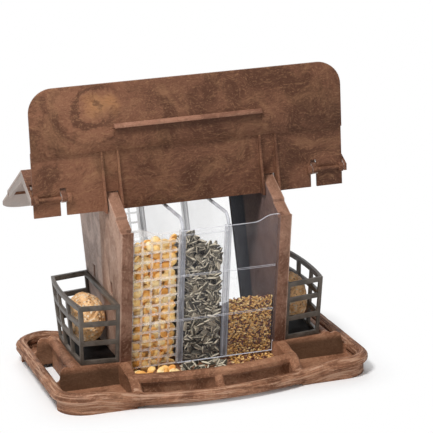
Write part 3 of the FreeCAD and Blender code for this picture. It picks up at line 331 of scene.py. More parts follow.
def rim_stations():
    """Places round the rim's outer edge, evenly spaced, each with the direction that points outwards."""
    straight_x = TRAY_HALF - TRAY_CORNER
    straight_y = TRAY_SIDE - TRAY_CORNER
    stations = []
    for quarter in range(4):
        along, across = (straight_x, straight_y) if quarter % 2 == 0 else (straight_y, straight_x)
        turn = Quaternion((0, 0, 1), math.radians(90 * quarter))
        for index in range(round(2 * along / GRAIN_STEP)):
            run = -along + index * GRAIN_STEP
            bow = TRAY_BOW * max(0.0, 1 - (run / PERCH_HALF) ** 2) if quarter % 2 == 0 else 0.0
            edge = Vector((run, -across - TRAY_CORNER - bow, 0))
            stations.append((turn @ edge, turn @ Vector((0, -1, 0))))
        for index in range(round(TRAY_CORNER * math.pi / 2 / GRAIN_STEP)):
            angle = index * GRAIN_STEP / TRAY_CORNER
            out = turn @ Vector((math.sin(angle), -math.cos(angle), 0))
            stations.append((turn @ Vector((along, -across, 0)) + out * TRAY_CORNER, out))
    return stations


def rim_top(x):
    """Height of the rim's crest, which climbs from the perches to the ends."""
    share = min(max((abs(x) - RISE_FROM) / (RISE_TO - RISE_FROM), 0.0), 1.0)
    return PERCH_TOP + RISE_HIGH * share * share * (3 - 2 * share)


def grain_point(station, angle):
    """The point on the tray's surface seen from the middle of the log at an angle above level, or None."""
    place, out = station
    middle = place - out * RIM_WIDE / 2 + Vector((0, 0, rim_top(place.x) - LOG_DEEP))
    ray = out * math.cos(angle) + Vector((0, 0, math.sin(angle)))
    found, spot, normal, face = tray.ray_cast(middle + ray * GRAIN_FROM, -ray)
    if not found or not LOG_NEAR < (spot - middle).length < LOG_FAR:
        return None
    return spot - normal * GRAIN_SINK


def add_grain_line(path, points):
    """A line of a curve that tapers at both ends."""
    line = path.splines.new("POLY")
    line.points.add(len(points) - 1)
    for index, (point, place) in enumerate(zip(line.points, points)):
        point.co = (*place, 1)
        point.radius = min(1.0, TIP_RADIUS + TAPER_STEP * min(index, len(points) - 1 - index))


grain_draw = random.Random(5)
path = bpy.data.curves.new("rim_grain", "CURVE")
path.dimensions = "3D"
path.bevel_depth = GRAIN_RADIUS
path.bevel_resolution = 1
stations = rim_stations()
for level_angle in GRAIN_ANGLES:
    points = []
    ends_at = grain_draw.randint(*FIRST_RUN)
    phase = grain_draw.uniform(0, 2 * math.pi)
    for index, station in enumerate(stations):
        wander = sum(size * math.sin(index * rate + share * phase) for size, rate, share in GRAIN_WANDER)
        spot = grain_point(station, math.radians(level_angle + wander)) if index < ends_at else None
        if spot is not None:
            points.append(spot)
            continue
        if len(points) > SHORTEST_RUN:
            add_grain_line(path, points)
        points = []
        if index >= ends_at + grain_draw.randint(*BREAK_STEPS):
            ends_at = index + grain_draw.randint(*NEXT_RUN)
grain = bpy.data.objects.new("rim_grain", path)
bpy.context.scene.collection.objects.link(grain)
activate(grain)
bpy.ops.object.convert(target="MESH")
bpy.ops.object.shade_smooth()
finish_piece(bpy.context.object, "house", [tray_brown])

# Side panels: thick boards with a post at each edge and a gable slab on top, moulded in the same plastic
# in a greyer mix. Outside they show two upright planks, the rear one greyer. Faces that point upwards are
# painted lighter as top light; inside, the right-hand one is painted darker grey as shade, and near black
# beside the rear window as painted shadow.
PANEL_TONES = ((0.225, 0.116, 0.078, 1), (0.105, 0.048, 0.030, 1), (0.40, 0.245, 0.170, 1))
FRONT_PLANK = ((0.400, 0.258, 0.192, 1), (0.225, 0.128, 0.090, 1), (0.56, 0.405, 0.320, 1))
REAR_PLANK = ((0.600, 0.465, 0.405, 1), (0.340, 0.255, 0.220, 1), (0.74, 0.620, 0.560, 1))
TOP_LIGHT_TONE = (0.46, 0.245, 0.155, 1)
REAR_CORNER_SHADOW = (0.004, 0.008, 0.022, 1)
INNER_SHADE = (0.105, 0.082, 0.086, 1)
PANEL_HIGHLIGHT_TONES = ((0.34, 0.190, 0.130, 1), (0.19, 0.095, 0.062, 1), (0.52, 0.345, 0.255, 1))
PANEL_EDGE = 0.0009
PANEL_OUT = 0.0985
PANEL_IN = 0.0868
OUT_BLEND = 0.0008
IN_BLEND = 0.0004
SEAM_BLEND = 0.001
TOP_LIGHT_SHARE = 0.22
INNER_SHADE_SHARE = 0.6
SHADOW_LEAN = 0.17
SHADOW_FOOT = 0.003
SHADOW_FADE = (-0.004, 0.006)
SHADOW_SHARE = 0.94
panel_brown, tree, shader, coordinates, mottle = wood_look(
    "panel_wood_look", PANEL_TONES, swirl_scale=17.0, light_share=0.40, streaks=0.42, flecks=0.48,
    turn=(0, math.radians(90), 0))
shader.inputs["Specular IOR Level"].default_value = 0.06
axes = axes_of(tree, coordinates)
outside = ramp_between(tree, work_out(tree, "ABSOLUTE", axes["X"]), PANEL_OUT, PANEL_OUT + OUT_BLEND)
rear_plank = work_out(tree, "MULTIPLY", ramp_between(tree, axes["Y"], -SEAM_BLEND, SEAM_BLEND), outside)
front_plank = work_out(tree, "MULTIPLY", ramp_between(tree, axes["Y"], SEAM_BLEND, -SEAM_BLEND), outside)
for key, post, front, rear in zip(("Ground", "Dark", "Light"), PANEL_TONES, FRONT_PLANK, REAR_PLANK):
    tone = blend_colour(tree, front_plank, blend_colour(tree, rear_plank, post, rear), front)
    tree.links.new(tone, mottle.inputs[key])
# Painted top light: faces that point upwards are blended towards a lighter tone.
lighter_share = ramp_between(tree, facing_axes(tree)["Z"], 0.45, 0.75, 0.0, TOP_LIGHT_SHARE)
colour = blend_colour(tree, lighter_share, mottle.outputs["Color"], TOP_LIGHT_TONE)
# Painted shade: the right-hand panel's inner face is blended towards a dark grey.
right_inside = work_out(tree, "MULTIPLY", ramp_between(tree, axes["X"], PANEL_IN, PANEL_IN - IN_BLEND),
                        ramp_between(tree, axes["X"], 0.0, 0.01))
colour = blend_colour(tree, work_out(tree, "MULTIPLY", right_inside, INNER_SHADE_SHARE), colour, INNER_SHADE)
# Painted shadow: a near-black band on the right-hand panel's inner face beside the rear window.
shadow_edge = work_out(tree, "ADD", work_out(tree, "MULTIPLY", axes["Z"], SHADOW_LEAN), SHADOW_FOOT)
shadowed = ramp_between(tree, work_out(tree, "SUBTRACT", axes["Y"], shadow_edge), *SHADOW_FADE, 0.0, SHADOW_SHARE)
colour = blend_colour(tree, work_out(tree, "MULTIPLY", shadowed, right_inside), colour, REAR_CORNER_SHADOW)
tree.links.new(colour, shader.inputs["Base Color"])
# Painted highlight: the panels' softened edge strips take a lighter mix, as edges that catch the light.
panel_edge_highlight = wood_look("panel_painted_edge_highlight", PANEL_HIGHLIGHT_TONES, swirl_scale=17.0, light_share=0.40,
                       streaks=0.42, flecks=0.48)[0]
for side in ("left", "right"):
    panel = moulded_copy(f"{side}_side_panel", PANEL_EDGE)
    finish_piece(panel, "house", [panel_brown, panel_edge_highlight])

# Windows and dividers: clear injection-moulded sheets; the windows slide down into grooves in the panels
# and the dividers into channels in the windows. The broad faces are polished; cut edges, ribs, channels,
# the mesh bars and the beads along the dividers' upper edges look frosted.
SHEET_LEAN = 0.25926
SHEET_FOOT = 0.05705
SHEET_FOOT_AT = 0.035
SHEET_EDGE = 0.00025
SHEET_CORNER = math.radians(50)
MESH_EDGE = -0.0300
CHANNEL_DEPTH = 0.0024
SAME_WAY = 0.98
DIVIDER_EDGE = 0.0003
BEAD_FROM = 0.1915
BEAD_RADIUS = 0.0019
BEAD_SINK = 0.0010


def see_through(name, tone, paler, thin, thick, glancing, gloss):
    """Clear plastic that lets most light straight through, hazier in places and at a glancing angle."""
    material, tree, shader = new_material(name)
    haze = noise(tree, place_on_piece(tree), Scale=45.0, Detail=5.0)
    tree.links.new(blend_colour(tree, haze, tone, paler), shader.inputs["Base Color"])
    tree.links.new(ramp_between(tree, haze, 0.3, 0.7, gloss, gloss + 0.06), shader.inputs["Roughness"])
    edge_on = add_node(tree, "ShaderNodeLayerWeight", Blend=0.25).outputs["Fresnel"]
    body = ramp_between(tree, haze, 0.35, 0.65, thin, thick)
    cover = work_out(tree, "ADD", body, work_out(tree, "MULTIPLY", edge_on, glancing))
    tree.links.new(cover, shader.inputs["Alpha"])
    return material


clear = see_through("clear_sheet_plastic", (0.70, 0.70, 0.78, 1), (0.80, 0.80, 0.86, 1),
                    thin=0.010, thick=0.024, glancing=0.14, gloss=0.04)
mesh_bars = see_through("mesh_bar_plastic", (0.84, 0.79, 0.75, 1), (0.94, 0.90, 0.87, 1),
                        thin=0.18, thick=0.30, glancing=0.10, gloss=0.08)
frosted = see_through("frosted_edge_plastic", (0.66, 0.66, 0.72, 1), (0.84, 0.84, 0.88, 1),
                      thin=0.42, thick=0.62, glancing=0.25, gloss=0.12)
cut_edge = see_through("divider_edge_plastic", (0.26, 0.27, 0.30, 1), (0.52, 0.53, 0.57, 1),
                       thin=0.62, thick=0.82, glancing=0.10, gloss=0.10)
for face, front in (("front", -1), ("rear", 1)):
    window = moulded_copy(f"{face}_window", SHEET_EDGE, SHEET_CORNER)
    activate(window)
    bpy.ops.object.mode_set(mode="EDIT")
    bpy.ops.mesh.select_all(action="SELECT")
    bpy.ops.mesh.bisect(plane_co=(MESH_EDGE, 0, 0), plane_no=(1, 0, 0))
    bpy.ops.object.mode_set(mode="OBJECT")
    finish_piece(window, "house", [clear, mesh_bars, frosted])
    out = Vector((0, front, -SHEET_LEAN)).normalized()
    foot = Vector((0, front * SHEET_FOOT, SHEET_FOOT_AT))
    for polygon in window.data.polygons:
        in_mesh = polygon.center.x < MESH_EDGE
        broad = abs(polygon.normal.dot(out)) >= SAME_WAY
        if (foot - polygon.center).dot(out) > CHANNEL_DEPTH or polygon.center.x > MESH_EDGE and not broad:
            polygon.material_index = 2
        else:
            polygon.material_index = 1 if in_mesh else 0


def edge_bead(name, divider):
    """The rounded thickening along the free upper edge of a divider."""
    broad = max(divider.data.polygons, key=lambda polygon: polygon.area)
    outline = [divider.data.vertices[index].co for index in broad.vertices]
    middle = sum(corner[0] for corner in divider.bound_box) / 8
    run = sorted((corner for corner in outline if corner.z > BEAD_FROM), key=lambda corner: corner.y)
    path = bpy.data.curves.new(name, "CURVE")
    path.dimensions = "3D"
    path.bevel_depth = BEAD_RADIUS
    path.bevel_resolution = 2
    path.use_fill_caps = True
    line = path.splines.new("POLY")
    line.points.add(len(run) - 1)
    for point, corner in zip(line.points, run):
        point.co = (middle, corner.y, corner.z - BEAD_SINK, 1)
    bead = bpy.data.objects.new(name, path)
    bpy.context.scene.collection.objects.link(bead)
    activate(bead)
    bpy.ops.object.convert(target="MESH")
    bpy.ops.object.shade_smooth_by_angle(angle=SHEET_CORNER)
    return bpy.context.object


for side in ("left", "right"):
    divider = moulded_copy(f"{side}_divider", DIVIDER_EDGE, SHEET_CORNER)
    finish_piece(divider, "house", [clear, cut_edge])
    for polygon in divider.data.polygons:
        polygon.material_index = 0 if abs(polygon.normal.x) > SAME_WAY else 1
    finish_piece(edge_bead(f"{side}_divider_bead", divider), "house", [frosted])

# Fixed roof half and hinged flap: two lapped courses each, in a darker red-brown mix with ochre knots.
# The flap turns on two moulded rods of the same plastic, held in eyes on the fixed half.
ROOF_TONES = ((0.146, 0.062, 0.035, 1), (0.064, 0.025, 0.013, 1), (0.31, 0.160, 0.082, 1))
ROOF_HIGHLIGHT_TONES = ((0.285, 0.138, 0.088, 1), (0.150, 0.066, 0.040, 1), (0.44, 0.255, 0.165, 1))
ROOF_END = (0.60, 0.545, 0.50, 1)
ROOF_END_FROM = 0.128
ROOF_END_TO = 0.150
ROOF_END_SHARE = 0.60
ROOF_EDGE = 0.0009
FLAP_EDGE = 0.0010
KNOT_AT = (-0.100, -0.0515, 0.331)
KNOT_SIZE = (0.024, 0.020, 0.018)
KNOT_TONE = (0.34, 0.160, 0.070, 1)
KNOT_EDGE = (2.15, 1.45)
RING_WANDER = 1.9
RING_RATE = 6.0
RINGS_FADE = (4.6, 2.2)
FADED_TONE = (0.215, 0.094, 0.052, 1)
FADED_SPAN = (-0.030, -0.125)
RIB_HALF = 0.0872
RIB_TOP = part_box("roof_flap")[0][2] + 0.0985
RIB_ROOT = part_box("roof_flap")[1][1] - 0.006
RIB_RISE = 0.0016
RIB_DROP = 0.0004
RIB_NEAR = 0.0003
RIB_LIP = 0.0036
RIB_SHADOW_DROP = 0.024
RIB_SHADOW_SHARE = 0.62
RIB_SHADOW_X = (RIB_HALF + 0.004, RIB_HALF - 0.002)
RIB_SHADOW_Y = (RIB_ROOT + 0.0035, RIB_ROOT + 0.0020)
roof_brown, tree, shader, coordinates, mottle = wood_look(
    "roof_wood_look", ROOF_TONES, swirl_scale=15.0, light_share=0.30, streaks=0.36, flecks=0.50)
facing = facing_axes(tree)
reach = work_out(tree, "ABSOLUTE", axes_of(tree, coordinates)["X"])
# Painted reflection: faces near the roof's ends that point down or sideways are paled towards light grey.
end_reflection_faces = work_out(tree, "MAXIMUM", ramp_between(tree, facing["Z"], -0.5, -0.8),
                ramp_between(tree, work_out(tree, "ABSOLUTE", facing["X"]), 0.6, 0.9))
at_end = ramp_between(tree, reach, ROOF_END_FROM, ROOF_END_TO, 0.0, ROOF_END_SHARE)
colour = blend_colour(tree, work_out(tree, "MULTIPLY", end_reflection_faces, at_end), mottle.outputs["Color"], ROOF_END)
tree.links.new(colour, shader.inputs["Base Color"])
flap_brown, tree, shader, coordinates, mottle = wood_look(
    "flap_wood_look", ROOF_TONES, swirl_scale=13.0, light_share=0.34, streaks=0.40, flecks=0.42)
from_knot = add_node(tree, "ShaderNodeVectorMath", [(0, coordinates)], operation="SUBTRACT")
from_knot.inputs[1].default_value = KNOT_AT
knot_place = add_node(tree, "ShaderNodeVectorMath", [(0, from_knot.outputs[0])], operation="DIVIDE")
knot_place.inputs[1].default_value = KNOT_SIZE
wander = noise(tree, coordinates, Scale=38.0, Detail=7.0, Roughness=0.68)
radius = add_node(tree, "ShaderNodeVectorMath", [(0, knot_place.outputs[0])], operation="LENGTH")
radius = work_out(tree, "ADD", radius.outputs["Value"], work_out(tree, "MULTIPLY", wander, RING_WANDER))
rings = work_out(tree, "SINE", work_out(tree, "MULTIPLY", radius, RING_RATE))
ring_share = work_out(tree, "MULTIPLY", ramp_between(tree, rings, 0.30, 0.95, 0.0, 0.75),
                      ramp_between(tree, radius, *RINGS_FADE))
leftward = axes_of(tree, knot_place.outputs[0])["X"]
ring_share = work_out(tree, "MULTIPLY", ring_share, ramp_between(tree, leftward, 1.4, -0.4))
axes = axes_of(tree, coordinates)
lighter_share = ramp_between(tree, axes["X"], *FADED_SPAN, 0.0, 0.85)
colour = blend_colour(tree, lighter_share, ROOF_TONES[0], FADED_TONE)
colour = blend_colour(tree, ramp_between(tree, radius, *KNOT_EDGE, 0.0, 0.92), colour, KNOT_TONE)
tree.links.new(blend_colour(tree, ring_share, colour, ROOF_TONES[1]), mottle.inputs["Ground"])
# Painted shadow: a band of the flap under the drip rib is darkened towards the dark tone.
rib_shadow = ramp_between(tree, axes["Z"], RIB_TOP - 0.001, RIB_TOP - RIB_LIP, 0.0, RIB_SHADOW_SHARE)
for place, low, high in ((axes["Z"], RIB_TOP - RIB_SHADOW_DROP, RIB_TOP - RIB_LIP),
                         (work_out(tree, "ABSOLUTE", axes["X"]), *RIB_SHADOW_X), (axes["Y"], *RIB_SHADOW_Y)):
    rib_shadow = work_out(tree, "MULTIPLY", rib_shadow, ramp_between(tree, place, low, high))
tree.links.new(blend_colour(tree, rib_shadow, mottle.outputs["Color"], ROOF_TONES[1]), shader.inputs["Base Color"])


def slope_drip_rib(piece):
    """Slope the top of the rib that keeps rain off the hinge, from its root on the flap down to its lip."""
    for corner in piece.data.vertices:
        place = corner.co
        on_top = abs(place.x) < RIB_HALF and abs(place.z - RIB_TOP) < RIB_NEAR
        if on_top and place.y < RIB_ROOT + RIB_NEAR:
            corner.co.z += RIB_RISE if place.y > RIB_ROOT - RIB_NEAR else -RIB_DROP


# Painted highlight: the softened edge strips of the roof and flap take a lighter mix, as edges that catch the
# light.
roof_edge_highlight = wood_look("roof_painted_edge_highlight", ROOF_HIGHLIGHT_TONES, swirl_scale=15.0, light_share=0.30, streaks=0.36,
                      flecks=0.40)[0]
finish_piece(moulded_copy("rear_roof", ROOF_EDGE), "house", [roof_brown, roof_edge_highlight])
flap = moulded_copy("roof_flap", FLAP_EDGE, shape=slope_drip_rib)
finish_piece(flap, "lid", [flap_brown, roof_edge_highlight])
# Painted highlight: the drip rib's faces take the lighter edge mix, standing in for its lit top.
for polygon in flap.data.polygons:
    place = polygon.center
    on_rib = abs(place.x) < RIB_HALF and abs(place.z - RIB_TOP + 0.001) < RIB_LIP
    if on_rib and place.y < RIB_ROOT - 0.0002:
        polygon.material_index = 1
for side in ("left", "right"):
    pin = nodes[f"{side}_hinge_pin"]
    pin.data.materials.clear()
    pin.data.materials.append(flap_brown)

# Screws: six of bright turned steel, with plain shanks. Four are driven up through the tray into the
# panels, and two sideways through ribs of the fixed roof half into the panels.
steel, tree, shader = new_material("bright_steel")
brushed = add_node(tree, "ShaderNodeMapping", [("Vector", place_on_piece(tree))], Scale=(0.05, 1.0, 1.0))
scratch = noise(tree, brushed.outputs[0], Scale=2500.0, Detail=2.0)
tree.links.new(ramp_between(tree, scratch, 0.2, 0.8, 0.22, 0.42), shader.inputs["Roughness"])
shader.inputs["Metallic"].default_value = 1.0
shader.inputs["Base Color"].default_value = (0.62, 0.62, 0.61, 1)
for name in ("panel_screws", "roof_screws"):
    nodes[name].data.materials.clear()
    nodes[name].data.materials.append(steel)

# Fat-ball baskets: open grids moulded in dark olive-grey plastic with a fine mould grain, hooked into
# the panels. Their floors are painted near black and less glossy as shade.
BASKET_FLOOR = 0.0383
BASKET_EDGE = 0.0006
BASKET_DARK = (0.070, 0.058, 0.047, 1)
BASKET_PALE = (0.128, 0.108, 0.090, 1)
BASKET_FLOOR_SHADE = (0.006, 0.005, 0.005, 1)
FLOOR_SHADE_FADE = 0.0008
basket_grey, tree, shader = new_material("basket_plastic")
coordinates = place_on_piece(tree)
grit = noise(tree, coordinates, Scale=1400.0, Detail=2.0)
cloud = noise(tree, coordinates, Scale=60.0, Detail=5.0, Roughness=0.65)
tone = blend_colour(tree, ramp_between(tree, cloud, 0.35, 0.65), BASKET_DARK, BASKET_PALE)
height = axes_of(tree, coordinates)["Z"]
# Painted shade: the upward faces of the basket floors are made near black and less glossy.
low_down = ramp_between(tree, height, BASKET_FLOOR + FLOOR_SHADE_FADE, BASKET_FLOOR, 0.0, 0.95)
floor_shade = work_out(tree, "MULTIPLY", low_down, ramp_between(tree, facing_axes(tree)["Z"], 0.7, 0.95))
tree.links.new(blend_colour(tree, floor_shade, tone, BASKET_FLOOR_SHADE), shader.inputs["Base Color"])
tree.links.new(ramp_between(tree, floor_shade, 0.0, 0.9, 0.25, 0.02), shader.inputs["Specular IOR Level"])
bump = add_node(tree, "ShaderNodeBump", [("Height", grit)], Strength=0.35, Distance=0.0002)
tree.links.new(bump.outputs["Normal"], shader.inputs["Normal"])
tree.links.new(ramp_between(tree, cloud, 0.3, 0.7, 0.36, 0.52), shader.inputs["Roughness"])
for side in ("left", "right"):
    basket = moulded_copy(f"{side}_basket", BASKET_EDGE)
    finish_piece(basket, f"{side}_basket_body", [basket_grey] * 2)

# Fat balls: pressed lumps of fat, meal and seed, one wedged in each basket. Their skin is a crust of
# grains, lumpy all over, tan with paler and browner bits.
BALL_REACH = (0.0232, 0.031, 0.0292)
BALL_LUMPS = (0.016, 0.0040)
BALL_GRAINS = (0.0030, 0.0016)
BALL_TURN = (0.4, 0.3, 0.7)
BARS_PRESS = 0.1402
BARS_GIVE = 0.28
PANEL_PRESS = 0.1035
PANEL_GIVE = 0.5
BALLS = (("left", (-0.1232, 0.000, 0.0745), 3), ("right", (0.1232, -0.006, 0.0715), 8))
FAT_DARK = (0.55, 0.285, 0.108, 1)
FAT_PALE = (0.92, 0.570, 0.280, 1)
FAT_BITS = (("Red", 0.70, 0.86, (0.74, 0.58, 0.40, 1)), ("Green", 0.88, 0.97, (0.38, 0.185, 0.070, 1)),
            ("Blue", 0.95, 0.99, (0.20, 0.100, 0.045, 1)))
fat, tree, shader = new_material("fat_and_seed")
coordinates = place_on_piece(tree)
bits = add_node(tree, "ShaderNodeTexVoronoi", [("Vector", coordinates)], Scale=420.0)
shade = add_node(tree, "ShaderNodeSeparateColor", [("Color", bits.outputs["Color"])]).outputs
meal = noise(tree, coordinates, Scale=90.0, Detail=6.0, Roughness=0.7)
colour = blend_colour(tree, ramp_between(tree, meal, 0.36, 0.64), FAT_DARK, FAT_PALE)
for channel, low, high, bit in FAT_BITS:
    colour = blend_colour(tree, ramp_between(tree, shade[channel], low, high), colour, bit)
tree.links.new(colour, shader.inputs["Base Color"])
bump = add_node(tree, "ShaderNodeBump", [("Height", bits.outputs["Distance"])], Strength=0.8, Distance=0.0012,
                invert=True)
tree.links.new(bump.outputs["Normal"], shader.inputs["Normal"])
shader.inputs["Roughness"].default_value = 0.62


def crust(piece, name, kind, size, depth):
    """Push a piece's skin in and out by a procedural texture."""
    texture = bpy.data.textures.new(name, kind)
    texture.noise_scale = size
    push = piece.modifiers.new(name, "DISPLACE")
    push.texture = texture
    push.texture_coords = "LOCAL"
    push.strength = depth
    push.mid_level = 0.5
    activate(piece)
    bpy.ops.object.modifier_apply(modifier=push.name)


def press_flat(piece, sign):
    """Press a ball's outer side against the basket's bars and its inner side against the panel."""
    for corner in piece.data.vertices:
        out = corner.co.x * sign
        out = min(out, BARS_PRESS + BARS_GIVE * (out - BARS_PRESS))
        corner.co.x = sign * max(out, PANEL_PRESS + PANEL_GIVE * (out - PANEL_PRESS))


for side, centre, ball_turn in BALLS:
    bpy.ops.object.select_all(action="DESELECT")
    bpy.ops.mesh.primitive_ico_sphere_add(subdivisions=6, radius=1.0)
    ball = bpy.context.object
    ball.name = f"{side}_fat_ball"
    ball.rotation_euler = [ball_turn * share for share in BALL_TURN]
    bpy.ops.object.transform_apply(location=False, rotation=True, scale=False)
    ball.scale = BALL_REACH
    ball.location = centre
    bpy.ops.object.transform_apply(location=True, rotation=False, scale=True)
    crust(ball, f"{side}_lumps", "CLOUDS", *BALL_LUMPS)
    crust(ball, f"{side}_grains", "VORONOI", *BALL_GRAINS)
    press_flat(ball, math.copysign(1.0, centre[0]))
    bpy.ops.object.shade_smooth()
    ball.data.materials.append(fat)
    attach(ball, f"{side}_basket_body")

# Food in the hopper: split peanuts behind the mesh, striped sunflower seed in the middle, and fine
# mixed seed on the right. Each heap presses against both windows and spills under them into the troughs.
PANE_IN = SHEET_FOOT - 0.0021
CELLS = {"left": (-0.0845, -0.0315), "middle": (-0.0228, 0.0228), "right": (0.0315, 0.0845)}
RAMP_CREST = 0.0565
RAMP_FALL = 0.82
TROUGH_FLOOR = 0.0095
TROUGH_TOP = 0.0205
TROUGH_FALL = 0.36
TROUGH_REACH = 0.024
HEAP_FRONT = -0.090
HEAP_FALL = 0.42
SEED_SCALE = (0.86, 1.12)
PANE_GAP = 0.0003
PANE_SPREAD = 0.0012
LAYER_STEP = 0.32
TOP_SINK = 0.003
TOP_CLEAR = 0.003
TROUGH_SCALE = (0.86, 1.1)
TROUGH_SPREAD = (-0.0015, 0.0008)
PANE_CLEAR = 0.0035
CORE_FLOOR = 0.014
PEANUT_HIGH = 0.1795
SUNFLOWER_HIGH = 0.1860
FINE_SEED_HIGH = 0.0970
HEAP_FOOT = 0.016


def pane_depth(z):
    """Distance of a window's inner face from the centre line at a height."""
    return PANE_IN + (z - SHEET_FOOT_AT) * SHEET_LEAN


def seed_pattern(size, segments, rings, taper=0.0, split=None):
    """A low-poly seed, long in X and thin in Z: its corners, its faces and a stripe value for each corner."""
    bpy.ops.object.select_all(action="DESELECT")
    bpy.ops.mesh.primitive_uv_sphere_add(segments=segments, ring_count=rings, radius=0.5)
    seed = bpy.context.object
    seed.rotation_euler = (0, math.radians(90), 0)
    bpy.ops.object.transform_apply(location=False, rotation=True, scale=False)
    seed.scale = size
    bpy.ops.object.transform_apply(location=False, rotation=False, scale=True)
    if split is not None:
        bpy.ops.object.mode_set(mode="EDIT")
        bpy.ops.mesh.select_all(action="SELECT")
        bpy.ops.mesh.bisect(plane_co=(0, 0, split * size[2]), plane_no=(0, 0, 1), clear_inner=True,
                            use_fill=True)
        bpy.ops.mesh.inset(thickness=size[1] * 0.22, depth=-size[2] * 0.12)
        bpy.ops.object.mode_set(mode="OBJECT")
    corners = np.array([v.co for v in seed.data.vertices])
    faces = [tuple(p.vertices) for p in seed.data.polygons]
    corners[:, 1:] *= (1.0 - taper * (corners[:, 0] / size[0] + 0.5) ** 2)[:, None]
    stripe = 0.5 + 0.5 * np.cos(np.arctan2(corners[:, 2] / size[2], corners[:, 1] / size[1]) * 2)
    bpy.data.objects.remove(seed)
    return corners, faces, stripe


def turned(normal, draw, tilt):
    """A random orientation whose thin axis is near a normal."""
    base = Vector(normal).normalized().to_track_quat("Z", "X")
    spin = Quaternion((0, 0, 1), draw.uniform(0, 2 * math.pi))
    lean = Quaternion((1, 0, 0), draw.gauss(0, tilt)) @ Quaternion((0, 1, 0), draw.gauss(0, tilt))
    flip = Quaternion((1, 0, 0), math.pi if draw.random() < 0.5 else 0.0)
    return np.array((base @ spin @ lean @ flip).to_matrix())


def grid_spots(draw, u, v, pitch, jitter=0.5):
    """Jittered places over a rectangle, in a shuffled order."""
    count_u = max(1, round((u[1] - u[0]) / pitch))
    count_v = max(1, round((v[1] - v[0]) / pitch))
    spots = [(u[0] + (i + 0.5 + draw.uniform(-jitter, jitter)) * (u[1] - u[0]) / count_u,
              v[0] + (j + 0.5 + draw.uniform(-jitter, jitter)) * (v[1] - v[0]) / count_v)
             for i in range(count_u) for j in range(count_v)]
    draw.shuffle(spots)
    return spots


def within(middle, body, cell):
    """Keep a seed between its compartment's walls."""
    middle[0] = min(max(middle[0], cell[0] - body[:, 0].min()), cell[1] - body[:, 0].max())
    return body + middle


def pane_seeds(draw, corners, cell, z_span, surface, pitch, layers, tilt):
    """Seeds lying against the front and rear windows of a compartment."""
    placed = []
    for front in (-1, 1):
        inward = Vector((0, -front, SHEET_LEAN)).normalized()
        for layer in range(layers):
            for x, z in grid_spots(draw, cell, z_span, pitch):
                if z > surface(x, front * pane_depth(z)) - 0.001:
                    continue
                body = (corners * draw.uniform(*SEED_SCALE)) @ turned(inward, draw, tilt).T
                gap = PANE_GAP - (body @ np.array(inward)).min() + layer * pitch * LAYER_STEP
                gap += draw.uniform(0, PANE_SPREAD)
                middle = np.array((x, front * pane_depth(z), z)) + np.array(inward) * gap
                placed.append((within(middle, body, cell), draw.random()))
    return placed


def top_seeds(draw, corners, cell, surface, pitch, tilt):
    """Seeds lying on top of a compartment's heap."""
    placed = []
    reach = pane_depth(surface(sum(cell) / 2, HEAP_FRONT)) - 0.002
    for x, y in grid_spots(draw, cell, (-reach, reach), pitch):
        body = (corners * draw.uniform(*SEED_SCALE)) @ turned((0, HEAP_FALL, 1), draw, tilt).T
        z = surface(x, y) - draw.uniform(0.0, TOP_SINK)
        limit = pane_depth(z) - np.abs(body[:, 1]).max() - TOP_CLEAR
        middle = np.array((x, min(max(y, -limit), limit), z))
        placed.append((within(middle, body, cell), draw.random()))
    return placed


def trough_seeds(draw, corners, cell, pitch, tilt):
    """Seeds that have run out under the windows, lying in both troughs."""
    placed = []
    for front in (-1, 1):
        for x, run in grid_spots(draw, cell, (0.0, TROUGH_REACH), pitch):
            body = (corners * draw.uniform(*TROUGH_SCALE)) @ turned((0, front * TROUGH_FALL, 1), draw, tilt).T
            slope = TROUGH_TOP - TROUGH_FALL * run + draw.uniform(*TROUGH_SPREAD)
            z = max(slope, TROUGH_FLOOR - body[:, 2].min())
            clear_of = pane_depth(z) + PANE_CLEAR - (front * body[:, 1]).min()
            middle = np.array((x, front * max(pane_depth(TROUGH_TOP) + PANE_CLEAR + run, clear_of), z))
            placed.append((within(middle, body, cell), draw.random()))
    return placed


def heap_of(name, pattern, placed, material):
    """One piece made of copies of a seed, each corner carrying its seed's tone and stripe."""
    corners, faces, stripe = pattern
    count = len(corners)
    mesh = bpy.data.meshes.new(name)
    points = np.concatenate([body for body, tone in placed])
    mesh.from_pydata(points.tolist(), [],
                     [tuple(c + i * count for c in face) for i in range(len(placed)) for face in faces])
    tones = np.repeat([tone for body, tone in placed], count)
    for label, values in (("seed_tone", tones), ("seed_stripe", np.tile(stripe, len(placed)))):
        mesh.attributes.new(label, "FLOAT", "POINT").data.foreach_set("value", values.astype(np.float32))
    mesh.polygons.foreach_set("use_smooth", [True] * len(mesh.polygons))
    mesh.materials.append(material)
    heap = bpy.data.objects.new(name, mesh)
    bpy.context.scene.collection.objects.link(heap)
    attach(heap, "house")


def heap_core(name, cell, surface, material, gap):
    """The inside of a heap, a block that stays behind its outer seeds and stands on the tray's ramp."""
    bpy.ops.object.select_all(action="DESELECT")
    bpy.ops.mesh.primitive_cube_add(size=1.0)
    core = bpy.context.object
    core.name = name
    bpy.ops.object.mode_set(mode="EDIT")
    bpy.ops.mesh.select_all(action="SELECT")
    bpy.ops.mesh.subdivide(number_cuts=7)
    bpy.ops.object.mode_set(mode="OBJECT")
    for corner in core.data.vertices:
        x = cell[0] + gap * 0.5 + (corner.co.x + 0.5) * (cell[1] - cell[0] - gap)
        z = 0.1
        for settle in range(6):
            y = 2 * corner.co.y * (pane_depth(z) - gap)
            bottom = max(RAMP_CREST - RAMP_FALL * abs(y), CORE_FLOOR)
            z = bottom + (corner.co.z + 0.5) * (surface(x, y) - gap - bottom)
        corner.co = (x, y, z)
    core.data.materials.append(material)
    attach(core, "house")


